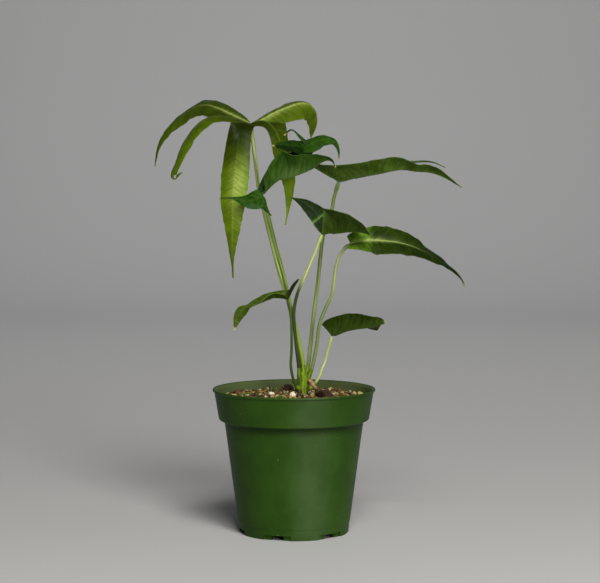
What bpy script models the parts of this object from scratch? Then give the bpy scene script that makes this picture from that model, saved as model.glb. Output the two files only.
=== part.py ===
"""A young lobed anthurium with seven leaves in a round green nursery pot.

Metres, +Z up. The origin is the centre of the pot's base, on the surface
that the pot stands on; -Y is the front. Sizes below are in millimetres and
become metres where a mesh is made.
"""

import math
import random

import bmesh
import bpy
from mathutils import Matrix, Vector

MM = 0.001
CLEARANCE = 0.3

POT_HEIGHT = 93.0
POT_WALL = 1.2
POT_BASE_RADIUS = 35.0
POT_BODY_TOP_RADIUS = 44.8
RIM_BAND_HEIGHT = 20.0
RIM_BAND_BASE_RADIUS = 48.5
RIM_BAND_TOP_RADIUS = 51.5
RIM_LIP_RADIUS = 52.5
RIM_LIP_HEIGHT = 1.6
RIM_STEP_HEIGHTS = (1.5, 3.0)
FOOT_BAND_HEIGHT = 7.3
FOOT_BAND_STEP = 0.35
FOOT_RING_RADIUS = 31.0
FLOOR_PAD_RADIUS = 22.0
FLOOR_RAISE = 1.6
POT_SEGMENTS = 60

NOTCH_COUNT = 6
NOTCH_FIRST_ANGLE = -108.0
NOTCH_WIDTH = 18.0
NOTCH_HEIGHT = 3.2
NOTCH_DEPTH = 1.8
CUTTER_OVERRUN = 2.0
CUTTER_REACH = 10.0
DRAIN_WIDTH = 8.0
DRAIN_HEIGHT = 3.0
DRAIN_LENGTH = 9.0

MIX_LEVEL = 88.0
MIX_RINGS = 13
MIX_SEED = 11
MIX_BUMPS = 110
MIX_BUMP_HEIGHT = (0.5, 2.2)
MIX_BUMP_RADIUS = (2.4, 5.2)
MIX_CALM_RADIUS = 9.0
MIX_EDGE_DROP = 2.0
CROWN_MOUND_RADIUS = 15.0
CROWN_MOUND_HEIGHT = 2.2

# Larger pieces of bark, pumice and perlite: x, y, length, width, height.
MIX_CHUNKS = (
    (-36.0, 15.0, 9.0, 6.0, 6.0),
    (-28.0, 6.0, 9.0, 6.0, 5.0),
    (-21.0, -9.0, 5.0, 4.0, 3.5),
    (-3.5, 15.0, 8.0, 6.0, 9.0),
    (-1.5, -13.0, 5.0, 4.6, 5.0),
    (27.0, 20.0, 8.0, 5.0, 5.0),
    (33.0, 7.0, 8.0, 5.0, 4.0),
    (38.5, 17.0, 4.5, 4.0, 4.5),
    (43.0, 9.0, 4.0, 3.5, 4.5),
    (20.0, -7.5, 13.0, 10.0, 9.5),
    (-14.0, -24.0, 6.0, 4.5, 3.5),
    (12.0, -27.0, 5.0, 4.0, 3.5),
    (-12.0, 36.0, 8.0, 5.0, 4.5),
    (14.0, 38.0, 6.0, 5.0, 4.0),
    (31.0, -22.0, 7.0, 4.5, 3.5),
    (-34.0, -18.0, 5.5, 4.5, 4.0),
)

CROWN_AXIS = ((4.8, 0.0, 80.0), (4.8, 0.0, 88.0), (5.0, 0.2, 95.0), (5.2, 0.4, 101.0))
CROWN_RADII = (3.0, 3.5, 3.9, 3.0)
CROWN_HOLE_RADIUS = 4.2
CROWN_SIDES = 14
ROOT_HOLE_GAP = 0.4
SHEATH_SWELL = (1.75, 1.6, 1.35, 1.1)

LEAF_THICKNESS = 0.8
TIP_WIDTH = 0.9
STALK_SIDES = 8
STALK_GAP = 1.0
STALK_TAPER = (1.0, 1.0, 0.95, 0.92, 0.9, 0.8)

# Each stalk's route runs from the crown up to the leaf's junction. sheath is
# how much of it, from the crown, belongs to the crown's swollen sheath.
STALKS = {
    "a": {
        "radius": 1.35,
        "sheath": 13.0,
        "route": (
            (4.5, 0.5, 95.5), (4.5, 1.6, 101.5), (4.0, 3.0, 109.5), (2.5, 4.0, 120.5),
            (0.0, 5.0, 133.5), (-3.0, 6.0, 146.5), (-9.5, 7.0, 168.0), (-14.0, 7.0, 185.5),
            (-18.0, 7.0, 201.5), (-22.5, 6.0, 221.0), (-24.5, 5.0, 237.0), (-26.5, 3.5, 253.0),
            (-28.0, 2.0, 263.0),
        ),
    },
    "b": {
        "radius": 1.35,
        "sheath": 13.0,
        "route": (
            (6.0, -0.6, 96.0), (6.2, -1.2, 102.0), (5.8, -1.8, 110.0), (3.7, -2.6, 121.0),
            (0.8, -3.5, 134.0), (-2.5, -5.0, 147.0), (-7.0, -9.0, 168.0), (-12.0, -12.0, 187.0),
            (-16.5, -15.5, 205.0), (-20.2, -19.8, 217.8),
        ),
    },
    "c": {
        "radius": 1.3,
        "sheath": 13.5,
        "route": (
            (7.0, 1.6, 95.5), (8.4, 2.8, 101.5), (9.2, 4.0, 107.5), (11.0, 6.0, 123.5),
            (13.0, 9.0, 141.5), (15.5, 11.0, 160.5), (18.5, 13.0, 188.5), (21.5, 13.0, 198.5),
            (24.5, 13.0, 207.5), (26.0, 12.0, 216.0), (29.0, 10.0, 226.0),
        ),
    },
    "d": {
        "radius": 1.1,
        "sheath": 12.0,
        "route": (
            (3.8, -1.4, 96.0), (3.4, -3.6, 102.0), (3.0, -5.2, 108.0), (1.8, -6.8, 118.5),
            (0.5, -8.0, 131.5), (0.0, -9.0, 143.0), (2.0, -9.5, 154.0), (5.5, -10.0, 163.0),
            (11.5, -11.0, 176.5), (14.5, -12.0, 184.0), (18.0, -13.0, 193.0),
        ),
    },
    "e": {
        "radius": 1.15,
        "sheath": 12.5,
        "route": (
            (7.0, -0.6, 94.5), (9.6, -2.0, 100.5), (11.6, -3.0, 106.0), (14.5, -3.0, 120.5),
            (16.5, -3.0, 135.0), (21.0, -3.0, 146.5), (24.5, -4.0, 155.0), (26.5, -6.0, 170.0),
            (29.0, -8.0, 178.5), (32.5, -10.5, 184.0), (36.0, -12.0, 186.5),
        ),
    },
    "f": {
        "radius": 0.95,
        "sheath": 10.0,
        "route": (
            (6.8, 1.6, 91.0), (11.0, 4.0, 93.0), (16.0, 6.0, 99.0), (17.8, 7.0, 104.0),
            (20.0, 8.0, 109.0), (21.5, 8.0, 115.5), (24.5, 8.0, 126.0),
        ),
    },
    "g": {
        "radius": 0.9,
        "sheath": 7.0,
        "route": (
            (4.2, -2.2, 92.0), (2.0, -6.0, 94.5), (0.0, -8.2, 98.5), (-1.2, -9.6, 103.5),
            (-2.0, -10.8, 109.5), (-1.5, -12.0, 118.0), (-1.5, -13.2, 132.0),
            (-2.0, -14.0, 140.5), (-4.0, -16.0, 151.5),
        ),
    },
}

ROOTS = {
    "root_right": {
        "radii": (1.4, 1.3, 1.2, 1.05, 0.8),
        "route": ((9.7, -5.0, 99.4), (11.4, -5.6, 97.3), (13.4, -6.0, 94.6),
                  (15.0, -6.0, 91.4), (16.0, -5.8, 86.5)),
    },
    "root_front": {
        "radii": (1.5, 1.3, 1.1, 0.9),
        "route": ((3.8, -5.8, 91.6), (3.4, -7.6, 90.4), (3.4, -9.0, 87.5), (3.8, -9.8, 83.0)),
    },
}

# A blade is a fan of lobes round its junction, counter-clockwise seen from
# above, from one side of the stalk's notch to the other. For each lobe:
#   rib      points on its midrib, from the junction to the tip
#   width    full width at the widest place, and where that is along the rib
#   base     how full the base is: 0 square, 1 pointed
#   taper    how the tip narrows: under 1 blunt, over 1 drawn out
#   heading  compass angle of the rib, 0 along +X
#   roll     turn about the rib; positive lifts the left half
#   left     lift of the left half above the flat, in degrees
#   right    the same for the right half
# Angles are given at even places from base to tip. body is the distance from
# the junction to the deepest notches between lobes. Each notch has its point
# and its place among the rungs that cross the lobes' bodies.
BLADES = {
    "a": {
        "colour": (0.16, 0.25, 0.012),
        "body": 24.0,
        "notches": (((-53, 8, 267), 4), ((-40, -8, 264), 2), ((-25, -2, 261.5), 1),
                    ((-5.5, 5, 264), 4)),
        "lobes": (
            {"rib": ((-28, 2, 263), (-34.5, 7, 266.5), (-41, 11, 269.5), (-48.5, 16, 273),
                     (-56.5, 21, 275.5), (-64.6, 26, 274.2), (-74.4, 31, 267.9), (-84, 34, 259),
                     (-89.7, 35, 248.3), (-91.7, 35, 236)),
             "width": 19.0, "widest": 0.42, "base": 0.7, "taper": 1.0, "heading": (150, 160),
             "roll": (-35, -33, -39, -40), "left": (-12, -14), "right": (-12, -14)},
            {"rib": ((-28, 2, 263), (-36.5, 0, 266), (-44.5, -2, 267.8), (-53, -5, 267),
                     (-60, -8, 262.8), (-66.2, -11, 255.6), (-71, -13, 247), (-74.7, -14, 237.5),
                     (-77.4, -14, 230.5), (-75.2, -15, 228), (-70.5, -17, 232.3)),
             "width": 16.4, "widest": 0.5, "taper": 0.65, "heading": (190, 200),
             "roll": (-20, 0), "left": (-16, -14), "right": (-16, -14)},
            {"rib": ((-28, 2, 263), (-32, -2, 262.5), (-34.8, -6.5, 258.5), (-36, -10.5, 249.5),
                     (-37, -14.5, 238), (-38, -18, 224.5), (-38.8, -20, 210.5),
                     (-38.7, -21, 196), (-39, -20.5, 182), (-38.5, -19, 165.5)),
             "width": 18.8, "widest": 0.40, "base": 0.3, "taper": 1.7, "heading": (245, 268),
             "roll": (0, 0), "left": (-12, -12), "right": (-12, -12)},
            {"rib": ((-28, 2, 263), (-21, 2, 265), (-14.5, -1.5, 262), (-10, -5, 254.5),
                     (-7, -6, 244), (-4, -6, 233), (-2.5, -5, 222.5), (-3.5, -4, 211),
                     (-5.5, -3, 198.5)),
             "width": 13.5, "widest": 0.42, "base": 1.3, "heading": (345, 310, 300),
             "roll": (10, 0), "left": (-14, -14), "right": (-14, -14)},
            {"rib": ((-28, 2, 263), (-21, 6, 265.5), (-13, 10, 270), (-4, 14, 274),
                     (4.5, 18, 276.8), (11, 21, 275.5), (14.5, 23, 270), (14.5, 24, 262.5),
                     (11, 24, 254.5)),
             "width": 23.0, "widest": 0.62, "taper": 0.75, "heading": (30, 15),
             "roll": (30, 30), "left": (-30, -20), "right": (-14, -20, -45, -40)},
        ),
    },
    "b": {
        "colour": (0.035, 0.075, 0.012),
        "body": 32.0,
        "notches": (((4.5, -15, 245.5), 4), ((4.5, -11.5, 246.5), 4), ((-2, -11.5, 244.5), 4),
                    ((-23, -17.5, 221.5), 1), ((-21.5, -27.5, 209.5), 4)),
        "lobes": (
            {"rib": ((-20, -20, 218), (-16, -21.5, 222), (-12, -22.5, 225.5), (-7, -24, 228.5),
                     (-0.5, -26, 230), (6.5, -28, 232.5), (12, -29, 235), (17, -30, 238.5),
                     (21, -31, 240), (24, -31, 239), (26, -31, 235.5)),
             "width": 32.0, "widest": 0.42, "base": 1.3, "taper": 1.5, "heading": (345, 350),
             "roll": (0, 0), "left": (45, 20), "right": (78, 55), "back": -3.0,
             "wave": 1.8, "waves": 3.1},
            {"rib": ((-20, -20, 218), (-15, -17, 225.5), (-7, -15, 234.5), (1.5, -14, 242),
                     (8.5, -13, 248.5), (15, -12, 252), (21.5, -11, 253), (26, -10, 251.5),
                     (28.5, -9, 246.5), (28.5, -9, 240)),
             "width": 15.0, "widest": 0.54, "taper": 1.4, "heading": (20, 0), "roll": (40, 35),
             "left": (-5, -10), "right": (-5, -10)},
            {"rib": ((-20, -20, 218), (-14.5, -14.5, 226), (-5, -12, 235), (4.5, -11, 242),
                     (10.5, -11, 245.5), (10.5, -11.5, 248), (7.5, -12.5, 251), (3.5, -13.5, 255),
                     (0, -14.5, 258.5), (-2.5, -15, 259), (-6, -15.5, 255.5)),
             "width": 5.5, "widest": 0.4, "heading": (50, 120), "roll": (0, 0),
             "left": (10, 10), "right": (10, 10)},
            {"rib": ((-20, -20, 218), (-16.5, -15.5, 225), (-10, -12.5, 234), (-1, -11.5, 241),
                     (5, -12.5, 244.5), (5.5, -15, 246.5), (2, -18, 248), (-3, -20.5, 248.5),
                     (-8, -22.5, 249), (-13.5, -24, 249)),
             "width": 9.0, "widest": 0.72, "taper": 0.9, "heading": (60, 90, 150, 200, 200),
             "roll": (0, 0, -20, -40, -40), "left": (0, 0), "right": (0, 0)},
            {"rib": ((-20, -20, 218), (-23, -23, 216), (-27.5, -26, 214.5), (-32.5, -28.5, 215),
                     (-39, -30.5, 216.5), (-47, -31, 216)),
             "width": 12.0, "widest": 0.22, "taper": 3.0, "heading": (190, 190),
             "roll": (-64, -30), "left": (-20, -10), "right": (-15, -10), "body": 8.0},
            {"rib": ((-20, -20, 218), (-19.5, -23.5, 215), (-18.5, -26.5, 211), (-14, -27.5, 205)),
             "width": 4.4, "widest": 0.45, "base": 0.8, "heading": (235, 235), "roll": (0, 0),
             "left": (-8, -8), "right": (-8, -8), "body": 7.5},
        ),
    },
    "c": {
        "colour": (0.035, 0.075, 0.012),
        "body": 18.0,
        "notches": (((25, 2, 236.5), 4), ((37.5, 15, 233), 4)),
        "lobes": (
            {"rib": ((29, 10, 226), (24, 11, 229), (18, 13, 232.5), (12.5, 15, 235.5),
                     (6, 17, 237.5)),
             "width": 15.0, "widest": 0.4, "heading": (170, 165), "roll": (0, 0),
             "left": (45, 30), "right": (35, 30), "body": 12.0},
            {"rib": ((29, 10, 226), (35, 8, 227), (42, 6, 229), (54.5, 2, 231.5), (68, -1, 234),
                     (78, -3, 233), (88, -5, 232), (97, -6, 228.5), (107, -7, 222.5)),
             "width": 20.0, "widest": 0.36, "base": 0.6, "taper": 1.1, "heading": (345, 355),
             "roll": (0, 0), "left": (35, 25), "right": (56, 40), "wave": 1.0, "waves": 2.8},
            {"rib": ((29, 10, 226), (37.5, 17, 229.5), (51, 25, 234), (65.5, 31, 237),
                     (79.5, 35, 238.5), (91, 37, 238.5), (100, 38, 235)),
             "width": 14.0, "widest": 0.4, "taper": 1.2, "heading": (35, 10), "roll": (0, 0),
             "left": (15, 10), "right": (15, 10)},
        ),
    },
    "d": {
        "colour": (0.03, 0.06, 0.02),
        "body": 16.0,
        "notches": (((19, -20.5, 209.5), 4), ((27, -8, 200), 3)),
        "lobes": (
            {"rib": ((18, -13, 193), (16.5, -15.5, 199.5), (14, -18, 205.5), (10, -20, 210),
                     (5, -22, 213.5), (-1.5, -23, 216.5)),
             "width": 9.5, "widest": 0.44, "base": 0.7, "taper": 1.1, "heading": (205, 195),
             "roll": (80, 65), "left": (0, 0), "right": (0, 0)},
            {"rib": ((18, -13, 193), (26, -19, 194), (34, -25, 195), (41.5, -30, 195),
                     (48, -34, 193.5)),
             "width": 31.0, "widest": 0.44, "base": 0.3, "taper": 0.75, "heading": (320, 325),
             "roll": (0, 0), "left": (40, 15, -15), "right": (70, 50)},
            {"rib": ((18, -13, 193), (23, -5, 194.5), (27.5, 3, 196), (31.5, 10, 196.5),
                     (35, 16, 195)),
             "width": 12.0, "widest": 0.4, "heading": (55, 60), "roll": (0, 0),
             "left": (20, 10), "right": (20, 10)},
        ),
    },
    "e": {
        "colour": (0.05, 0.085, 0.006),
        "body": 0.0,
        "notches": (),
        "lobes": (
            {"rib": ((36, -12, 186.5), (42.5, -13, 188), (50.5, -14, 189), (58.5, -15, 188.5),
                     (66.5, -15.5, 187.5), (75.5, -16, 185), (85.5, -16, 180.5), (94, -15, 175.5),
                     (103, -14, 168.5), (107.5, -13, 163), (108.5, -13, 159)),
             "width": 24.0, "widest": 0.3, "base": 0.35, "taper": 1.6, "heading": (355, 360),
             "roll": (45, 30), "left": (8, 8, 2, -16, -16, 0), "right": (30, -2, 6, 8, 8, 5),
             "start": 0.04, "back": 1.5},
        ),
    },
    "f": {
        "colour": (0.03, 0.07, 0.006),
        "body": 0.0,
        "notches": (),
        "lobes": (
            {"rib": ((24.5, 8, 126), (28.5, 7.5, 127.5), (33.5, 7, 129.5), (40, 6, 131),
                     (48, 5, 132), (54, 4, 133.5), (59.5, 4, 135)),
             "width": 23.5, "widest": 0.14, "base": 0.3, "taper": 0.5, "heading": (352, 352),
             "roll": (0, 0), "left": (50, 45, 35, 0, -30, 20), "right": (76, 72),
             "start": 0.05, "back": 3.2},
        ),
    },
    "g": {
        "colour": (0.06, 0.11, 0.008),
        "body": 6.0,
        "notches": (((-3.5, -15, 157.5), 4),),
        "lobes": (
            {"rib": ((-4, -16, 151.5), (-2, -17, 155), (0, -18, 159.5), (3.5, -18, 165)),
             "width": 5.5, "widest": 0.6, "taper": 0.7, "heading": (335, 340), "roll": (0, 0),
             "left": (25, 25), "right": (25, 25)},
            {"rib": ((-4, -16, 151.5), (-8, -17, 152.5), (-14, -18.5, 152.5),
                     (-20, -20.5, 150.5), (-26, -22.5, 148), (-30.5, -24, 146.5),
                     (-33.5, -25, 144), (-35.5, -25, 140.5), (-36.5, -25, 137),
                     (-37.5, -25, 133)),
             "width": 11.5, "widest": 0.3, "base": 0.35, "taper": 0.8,
             "heading": (185, 190, 215, 260, 270), "roll": (0, 0),
             "left": (40, 35, 15, 0, 0), "right": (65, 42, 12, 0, 0)},
        ),
    },
}

BODY_RUNGS = 4
FREE_RUNGS = 8
SIMPLE_RUNGS = 12
HALF_STEPS = 2
BASE_POWER = 0.5
TIP_POWER = 1.5
NOTCH_FADE = 0.35
BACK_FADE = 0.25


def clear_scene():
    for item in list(bpy.data.objects):
        bpy.data.objects.remove(item, do_unlink=True)


def make_material(name, colour, roughness, metallic=0.0):
    material = bpy.data.materials.new(name)
    material.use_nodes = True
    shader = material.node_tree.nodes["Principled BSDF"]
    shader.inputs["Base Color"].default_value = (*colour, 1.0)
    shader.inputs["Roughness"].default_value = roughness
    shader.inputs["Metallic"].default_value = metallic
    return material


def add_object(name, mesh_data, material=None, cutter=False):
    """Turn a bmesh in millimetres into an object in metres."""
    bmesh.ops.scale(mesh_data, vec=(MM, MM, MM), verts=mesh_data.verts)
    mesh = bpy.data.meshes.new(name)
    mesh_data.to_mesh(mesh)
    mesh_data.free()
    item = bpy.data.objects.new(name, mesh)
    bpy.context.collection.objects.link(item)
    if material is not None:
        mesh.materials.append(material)
    if cutter:
        item.hide_render = True
        item.display_type = "WIRE"
    return item


def smooth(item, angle=40.0):
    item.data.shade_smooth()
    item.data.set_sharp_from_angle(angle=math.radians(angle))


def blend(values, share):
    """Read values, evenly placed from 0 to 1, at a share between them."""
    place = min(max(share, 0.0), 1.0) * (len(values) - 1)
    lower = min(int(place), len(values) - 2)
    return values[lower] + (values[lower + 1] - values[lower]) * (place - lower)


def curve_point(points, index, share):
    """A point on the Catmull-Rom curve between points[index] and the next."""
    before = points[max(index - 1, 0)]
    start = points[index]
    end = points[index + 1]
    after = points[min(index + 2, len(points) - 1)]
    return 0.5 * (
        2 * start
        + (end - before) * share
        + (2 * before - 5 * start + 4 * end - after) * share**2
        + (3 * start - before - 3 * end + after) * share**3
    )


class Route:
    """A smooth curve through points, read by the distance along it."""

    def __init__(self, points, steps=12):
        controls = [Vector(point) for point in points]
        self.points = [controls[0]]
        for index in range(len(controls) - 1):
            for step in range(1, steps + 1):
                self.points.append(curve_point(controls, index, step / steps))
        self.marks = [0.0]
        for first, second in zip(self.points, self.points[1:]):
            self.marks.append(self.marks[-1] + (second - first).length)
        self.length = self.marks[-1]

    def at(self, distance):
        distance = min(max(distance, 0.0), self.length)
        for index in range(1, len(self.marks)):
            if distance <= self.marks[index]:
                break
        span = self.marks[index] - self.marks[index - 1]
        share = (distance - self.marks[index - 1]) / span
        return self.points[index - 1].lerp(self.points[index], share)

    def direction(self, distance, reach=1.0):
        return (self.at(distance + reach) - self.at(distance - reach)).normalized()


def lathe(profile, segments):
    """Turn a closed profile of (radius, height) points round the Z axis."""
    shape = bmesh.new()
    corners = [shape.verts.new((radius, 0.0, height)) for radius, height in profile]
    edges = [shape.edges.new(pair) for pair in zip(corners, corners[1:])]
    if profile[0][0] > 0.0:
        edges.append(shape.edges.new((corners[-1], corners[0])))
    bmesh.ops.spin(
        shape, geom=corners + edges, cent=(0, 0, 0), axis=(0, 0, 1),
        angle=math.tau, steps=segments, use_merge=True,
    )
    bmesh.ops.remove_doubles(shape, verts=shape.verts, dist=0.001)
    bmesh.ops.recalc_face_normals(shape, faces=shape.faces)
    return shape


def tube(route, start, end, radii, sides, spacing=4.0):
    """A closed round stem along a route; radii are spread evenly along it."""
    shape = bmesh.new()
    count = max(3, round((end - start) / spacing))
    ring_before = None
    side = Vector((1.0, 0.0, 0.0))
    for index in range(count + 1):
        share = index / count
        distance = start + (end - start) * share
        along = route.direction(distance)
        side = (side - along * side.dot(along)).normalized()
        across = along.cross(side)
        place = Matrix((side, across, along)).transposed().to_4x4()
        place.translation = route.at(distance)
        made = bmesh.ops.create_circle(
            shape, cap_ends=index in (0, count), segments=sides,
            radius=blend(radii, share), matrix=place,
        )
        ring = made["verts"]
        if ring_before is not None:
            for number in range(sides):
                following = (number + 1) % sides
                shape.faces.new((ring_before[number], ring_before[following],
                                 ring[following], ring[number]))
        ring_before = ring
    bmesh.ops.recalc_face_normals(shape, faces=shape.faces)
    return shape


def apply_boolean(item, cutters, operation):
    """Join to, or cut from, an object the whole collection of cutters."""
    group = bpy.data.collections.new(item.name + "_tools")
    bpy.context.scene.collection.children.link(group)
    for cutter in cutters:
        bpy.context.collection.objects.unlink(cutter)
        group.objects.link(cutter)
    change = item.modifiers.new(operation.lower(), "BOOLEAN")
    change.operation = operation
    change.operand_type = "COLLECTION"
    change.collection = group
    change.solver = "EXACT"
    bpy.context.view_layer.update()
    evaluated = item.evaluated_get(bpy.context.evaluated_depsgraph_get())
    result = bpy.data.meshes.new_from_object(evaluated)
    item.modifiers.clear()
    item.data = result
    for cutter in cutters:
        bpy.data.objects.remove(cutter, do_unlink=True)
    bpy.data.collections.remove(group)


def pot_outer_radius(height):
    """Radius of the tapered body's outside at a height, below the rim band."""
    top = POT_HEIGHT - RIM_BAND_HEIGHT
    return blend((POT_BASE_RADIUS, POT_BODY_TOP_RADIUS), height / top)


def band_inner_radius(height):
    """Radius of the inside of the rim band at a height."""
    low = POT_HEIGHT - RIM_BAND_HEIGHT + RIM_STEP_HEIGHTS[1]
    high = POT_HEIGHT - RIM_LIP_HEIGHT
    share = (height - low) / (high - low)
    return blend((RIM_BAND_BASE_RADIUS, RIM_BAND_TOP_RADIUS), share) - POT_WALL


def pot_inner_profile(inset):
    """The inside of the pot, from the middle of its floor up to its rim."""
    band_base = POT_HEIGHT - RIM_BAND_HEIGHT
    floor = FLOOR_RAISE + POT_WALL + inset
    wall = POT_WALL + inset
    return [
        (0.0, POT_WALL + inset),
        (FLOOR_PAD_RADIUS - wall, POT_WALL + inset),
        (FLOOR_PAD_RADIUS + 1.0 - inset, floor),
        (pot_outer_radius(floor) - wall, floor),
        (pot_outer_radius(band_base) - wall, band_base + RIM_STEP_HEIGHTS[0] + inset),
        (RIM_BAND_BASE_RADIUS - wall, band_base + RIM_STEP_HEIGHTS[1] + inset),
    ]


def make_pot():
    """A tapered pot with a stepped rim band, a lip and a foot with drains."""
    band_base = POT_HEIGHT - RIM_BAND_HEIGHT
    lip_base = POT_HEIGHT - RIM_LIP_HEIGHT
    outer = [
        (RIM_LIP_RADIUS - 0.4, POT_HEIGHT),
        (RIM_LIP_RADIUS, POT_HEIGHT - 0.4),
        (RIM_LIP_RADIUS, lip_base + 0.3),
        (RIM_BAND_TOP_RADIUS, lip_base),
        (RIM_BAND_BASE_RADIUS, band_base + 1.0),
        (RIM_BAND_BASE_RADIUS - 0.6, band_base + 0.2),
        (RIM_BAND_BASE_RADIUS - 1.6, band_base),
        (POT_BODY_TOP_RADIUS + 0.9, band_base),
        (POT_BODY_TOP_RADIUS, band_base - 1.5),
        (pot_outer_radius(FOOT_BAND_HEIGHT) + FOOT_BAND_STEP, FOOT_BAND_HEIGHT),
        (pot_outer_radius(FOOT_BAND_HEIGHT), FOOT_BAND_HEIGHT - 0.6),
        (POT_BASE_RADIUS + 0.3, 0.5),
        (POT_BASE_RADIUS - 0.2, 0.0),
        (FOOT_RING_RADIUS, 0.0),
        (FOOT_RING_RADIUS, FLOOR_RAISE),
        (FLOOR_PAD_RADIUS + 1.0, FLOOR_RAISE),
        (FLOOR_PAD_RADIUS, 0.0),
        (0.0, 0.0),
    ]
    inner = pot_inner_profile(0.0) + [
        (RIM_BAND_TOP_RADIUS - POT_WALL, lip_base),
        (RIM_LIP_RADIUS - POT_WALL - 0.3, POT_HEIGHT - 0.3),
        (RIM_LIP_RADIUS - POT_WALL, POT_HEIGHT),
    ]
    profile = inner + outer
    green = make_material("pot_green", (0.03, 0.08, 0.012), 0.5)
    pot = add_object("pot", lathe(profile, POT_SEGMENTS), green)
    cutters = []
    for number in range(NOTCH_COUNT):
        angle = math.radians(NOTCH_FIRST_ANGLE + number * 360.0 / NOTCH_COUNT)
        turn = Matrix.Rotation(angle, 4, "Z")
        notch_radius = POT_BASE_RADIUS - NOTCH_DEPTH + CUTTER_REACH / 2
        drain_radius = POT_BASE_RADIUS + 1.0 - DRAIN_LENGTH / 2
        for length, width, radius, height in (
            (CUTTER_REACH, NOTCH_WIDTH, notch_radius, NOTCH_HEIGHT),
            (DRAIN_LENGTH, DRAIN_WIDTH, drain_radius, DRAIN_HEIGHT),
        ):
            box = bmesh.new()
            place = Matrix.Translation((radius, 0.0, (height - CUTTER_OVERRUN) / 2))
            grow = Matrix.Diagonal((length, width, height + CUTTER_OVERRUN, 1.0))
            bmesh.ops.create_cube(box, size=1.0, matrix=turn @ place @ grow)
            cutters.append(add_object("drain_cutter", box, cutter=True))
    apply_boolean(pot, cutters, "DIFFERENCE")
    smooth(pot, 30.0)
    return pot


def stem_zone(x, y):
    """How far a place on the mix is from the nearest stem or root."""
    feet = [CROWN_AXIS[1]] + [ROOTS[name]["route"][-2] for name in ROOTS]
    return min(math.hypot(x - foot[0], y - foot[1]) for foot in feet)


def mix_surface(bumps, x, y):
    """Height of the lumpy top of the potting mix."""
    height = 0.0
    for centre_x, centre_y, radius, rise in bumps:
        reach = math.hypot(x - centre_x, y - centre_y) / radius
        if reach < 1.0:
            height = max(height, rise * (1.0 - reach**3))
    calm = min(1.0, stem_zone(x, y) / MIX_CALM_RADIUS)
    near = math.hypot(x - CROWN_AXIS[1][0], y - CROWN_AXIS[1][1]) / CROWN_MOUND_RADIUS
    mound = CROWN_MOUND_HEIGHT * max(0.0, 1.0 - near**2)
    return MIX_LEVEL + height * calm + mound - 0.6


def make_potting_mix():
    """The mix that fills the pot, with holes where stem and roots go in."""
    draw = random.Random(MIX_SEED)
    edge_height = MIX_LEVEL - MIX_EDGE_DROP
    top_radius = band_inner_radius(edge_height) - CLEARANCE
    bumps = []
    for _ in range(MIX_BUMPS):
        angle = draw.uniform(0.0, math.tau)
        reach = top_radius * math.sqrt(draw.random())
        bumps.append((reach * math.cos(angle), reach * math.sin(angle),
                      draw.uniform(*MIX_BUMP_RADIUS), draw.uniform(*MIX_BUMP_HEIGHT)))
    profile = pot_inner_profile(CLEARANCE)
    profile.append((top_radius, edge_height))
    for ring in range(MIX_RINGS):
        profile.append((top_radius * (1.0 - ring / MIX_RINGS), MIX_LEVEL))
    profile.append((0.0, MIX_LEVEL))
    body = lathe(profile, POT_SEGMENTS)
    for corner in body.verts:
        if corner.co.z > MIX_LEVEL - 0.5:
            corner.co.z = mix_surface(bumps, corner.co.x, corner.co.y)
    brown = make_material("potting_mix", (0.09, 0.055, 0.03), 0.9)
    mix = add_object("potting_mix", body, brown)
    chunks = []
    for x, y, length, width, height in MIX_CHUNKS:
        chunk = bmesh.new()
        turn = Matrix.Rotation(draw.uniform(0.0, math.pi), 4, "Z")
        tilt = Matrix.Rotation(draw.uniform(-0.3, 0.3), 4, "X")
        place = Matrix.Translation((x, y, MIX_LEVEL + height * 0.12))
        grow = Matrix.Diagonal((length / 2, width / 2, height / 2, 1.0))
        bmesh.ops.create_icosphere(chunk, subdivisions=1, radius=1.0,
                                   matrix=place @ turn @ tilt @ grow)
        chunks.append(add_object("chunk", chunk))
    apply_boolean(mix, chunks, "UNION")
    hole = bmesh.new()
    bottom = Vector(CROWN_AXIS[0]) - Vector((0.0, 0.0, CLEARANCE))
    place = Matrix.Translation(bottom + Vector((0.0, 0.0, CUTTER_REACH)))
    bmesh.ops.create_cone(
        hole, cap_ends=True, segments=20, radius1=CROWN_HOLE_RADIUS, radius2=CROWN_HOLE_RADIUS,
        depth=2 * CUTTER_REACH, matrix=place,
    )
    cutters = [add_object("crown_hole", hole, cutter=True)]
    for name, root in ROOTS.items():
        route = Route(root["route"])
        radii = [radius + ROOT_HOLE_GAP for radius in root["radii"]]
        shape = tube(route, 0.0, route.length, radii, STALK_SIDES + 2, 2.0)
        cutters.append(add_object(name + "_hole", shape, cutter=True))
    apply_boolean(mix, cutters, "DIFFERENCE")
    return mix


def make_crown():
    """The short stem with the swollen sheaths of all seven leaf stalks."""
    core_route = Route(CROWN_AXIS)
    green = make_material("crown_green", (0.14, 0.22, 0.02), 0.45)
    core = tube(core_route, 0.0, core_route.length, CROWN_RADII, CROWN_SIDES, 3.0)
    crown = add_object("crown", core, green)
    sheaths = []
    for name, stalk in STALKS.items():
        route = Route(stalk["route"])
        radii = [stalk["radius"] * swell for swell in SHEATH_SWELL]
        sheath = tube(route, 0.0, stalk["sheath"], radii, STALK_SIDES + 2, 3.5)
        sheaths.append(add_object("sheath_" + name, sheath))
    apply_boolean(crown, sheaths, "UNION")
    smooth(crown)
    return crown


def make_roots():
    brown = make_material("root_brown", (0.16, 0.08, 0.035), 0.7)
    for name, root in ROOTS.items():
        route = Route(root["route"])
        shape = tube(route, 0.0, route.length - 0.8, root["radii"], STALK_SIDES, 2.5)
        smooth(add_object(name, shape, brown))


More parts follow.
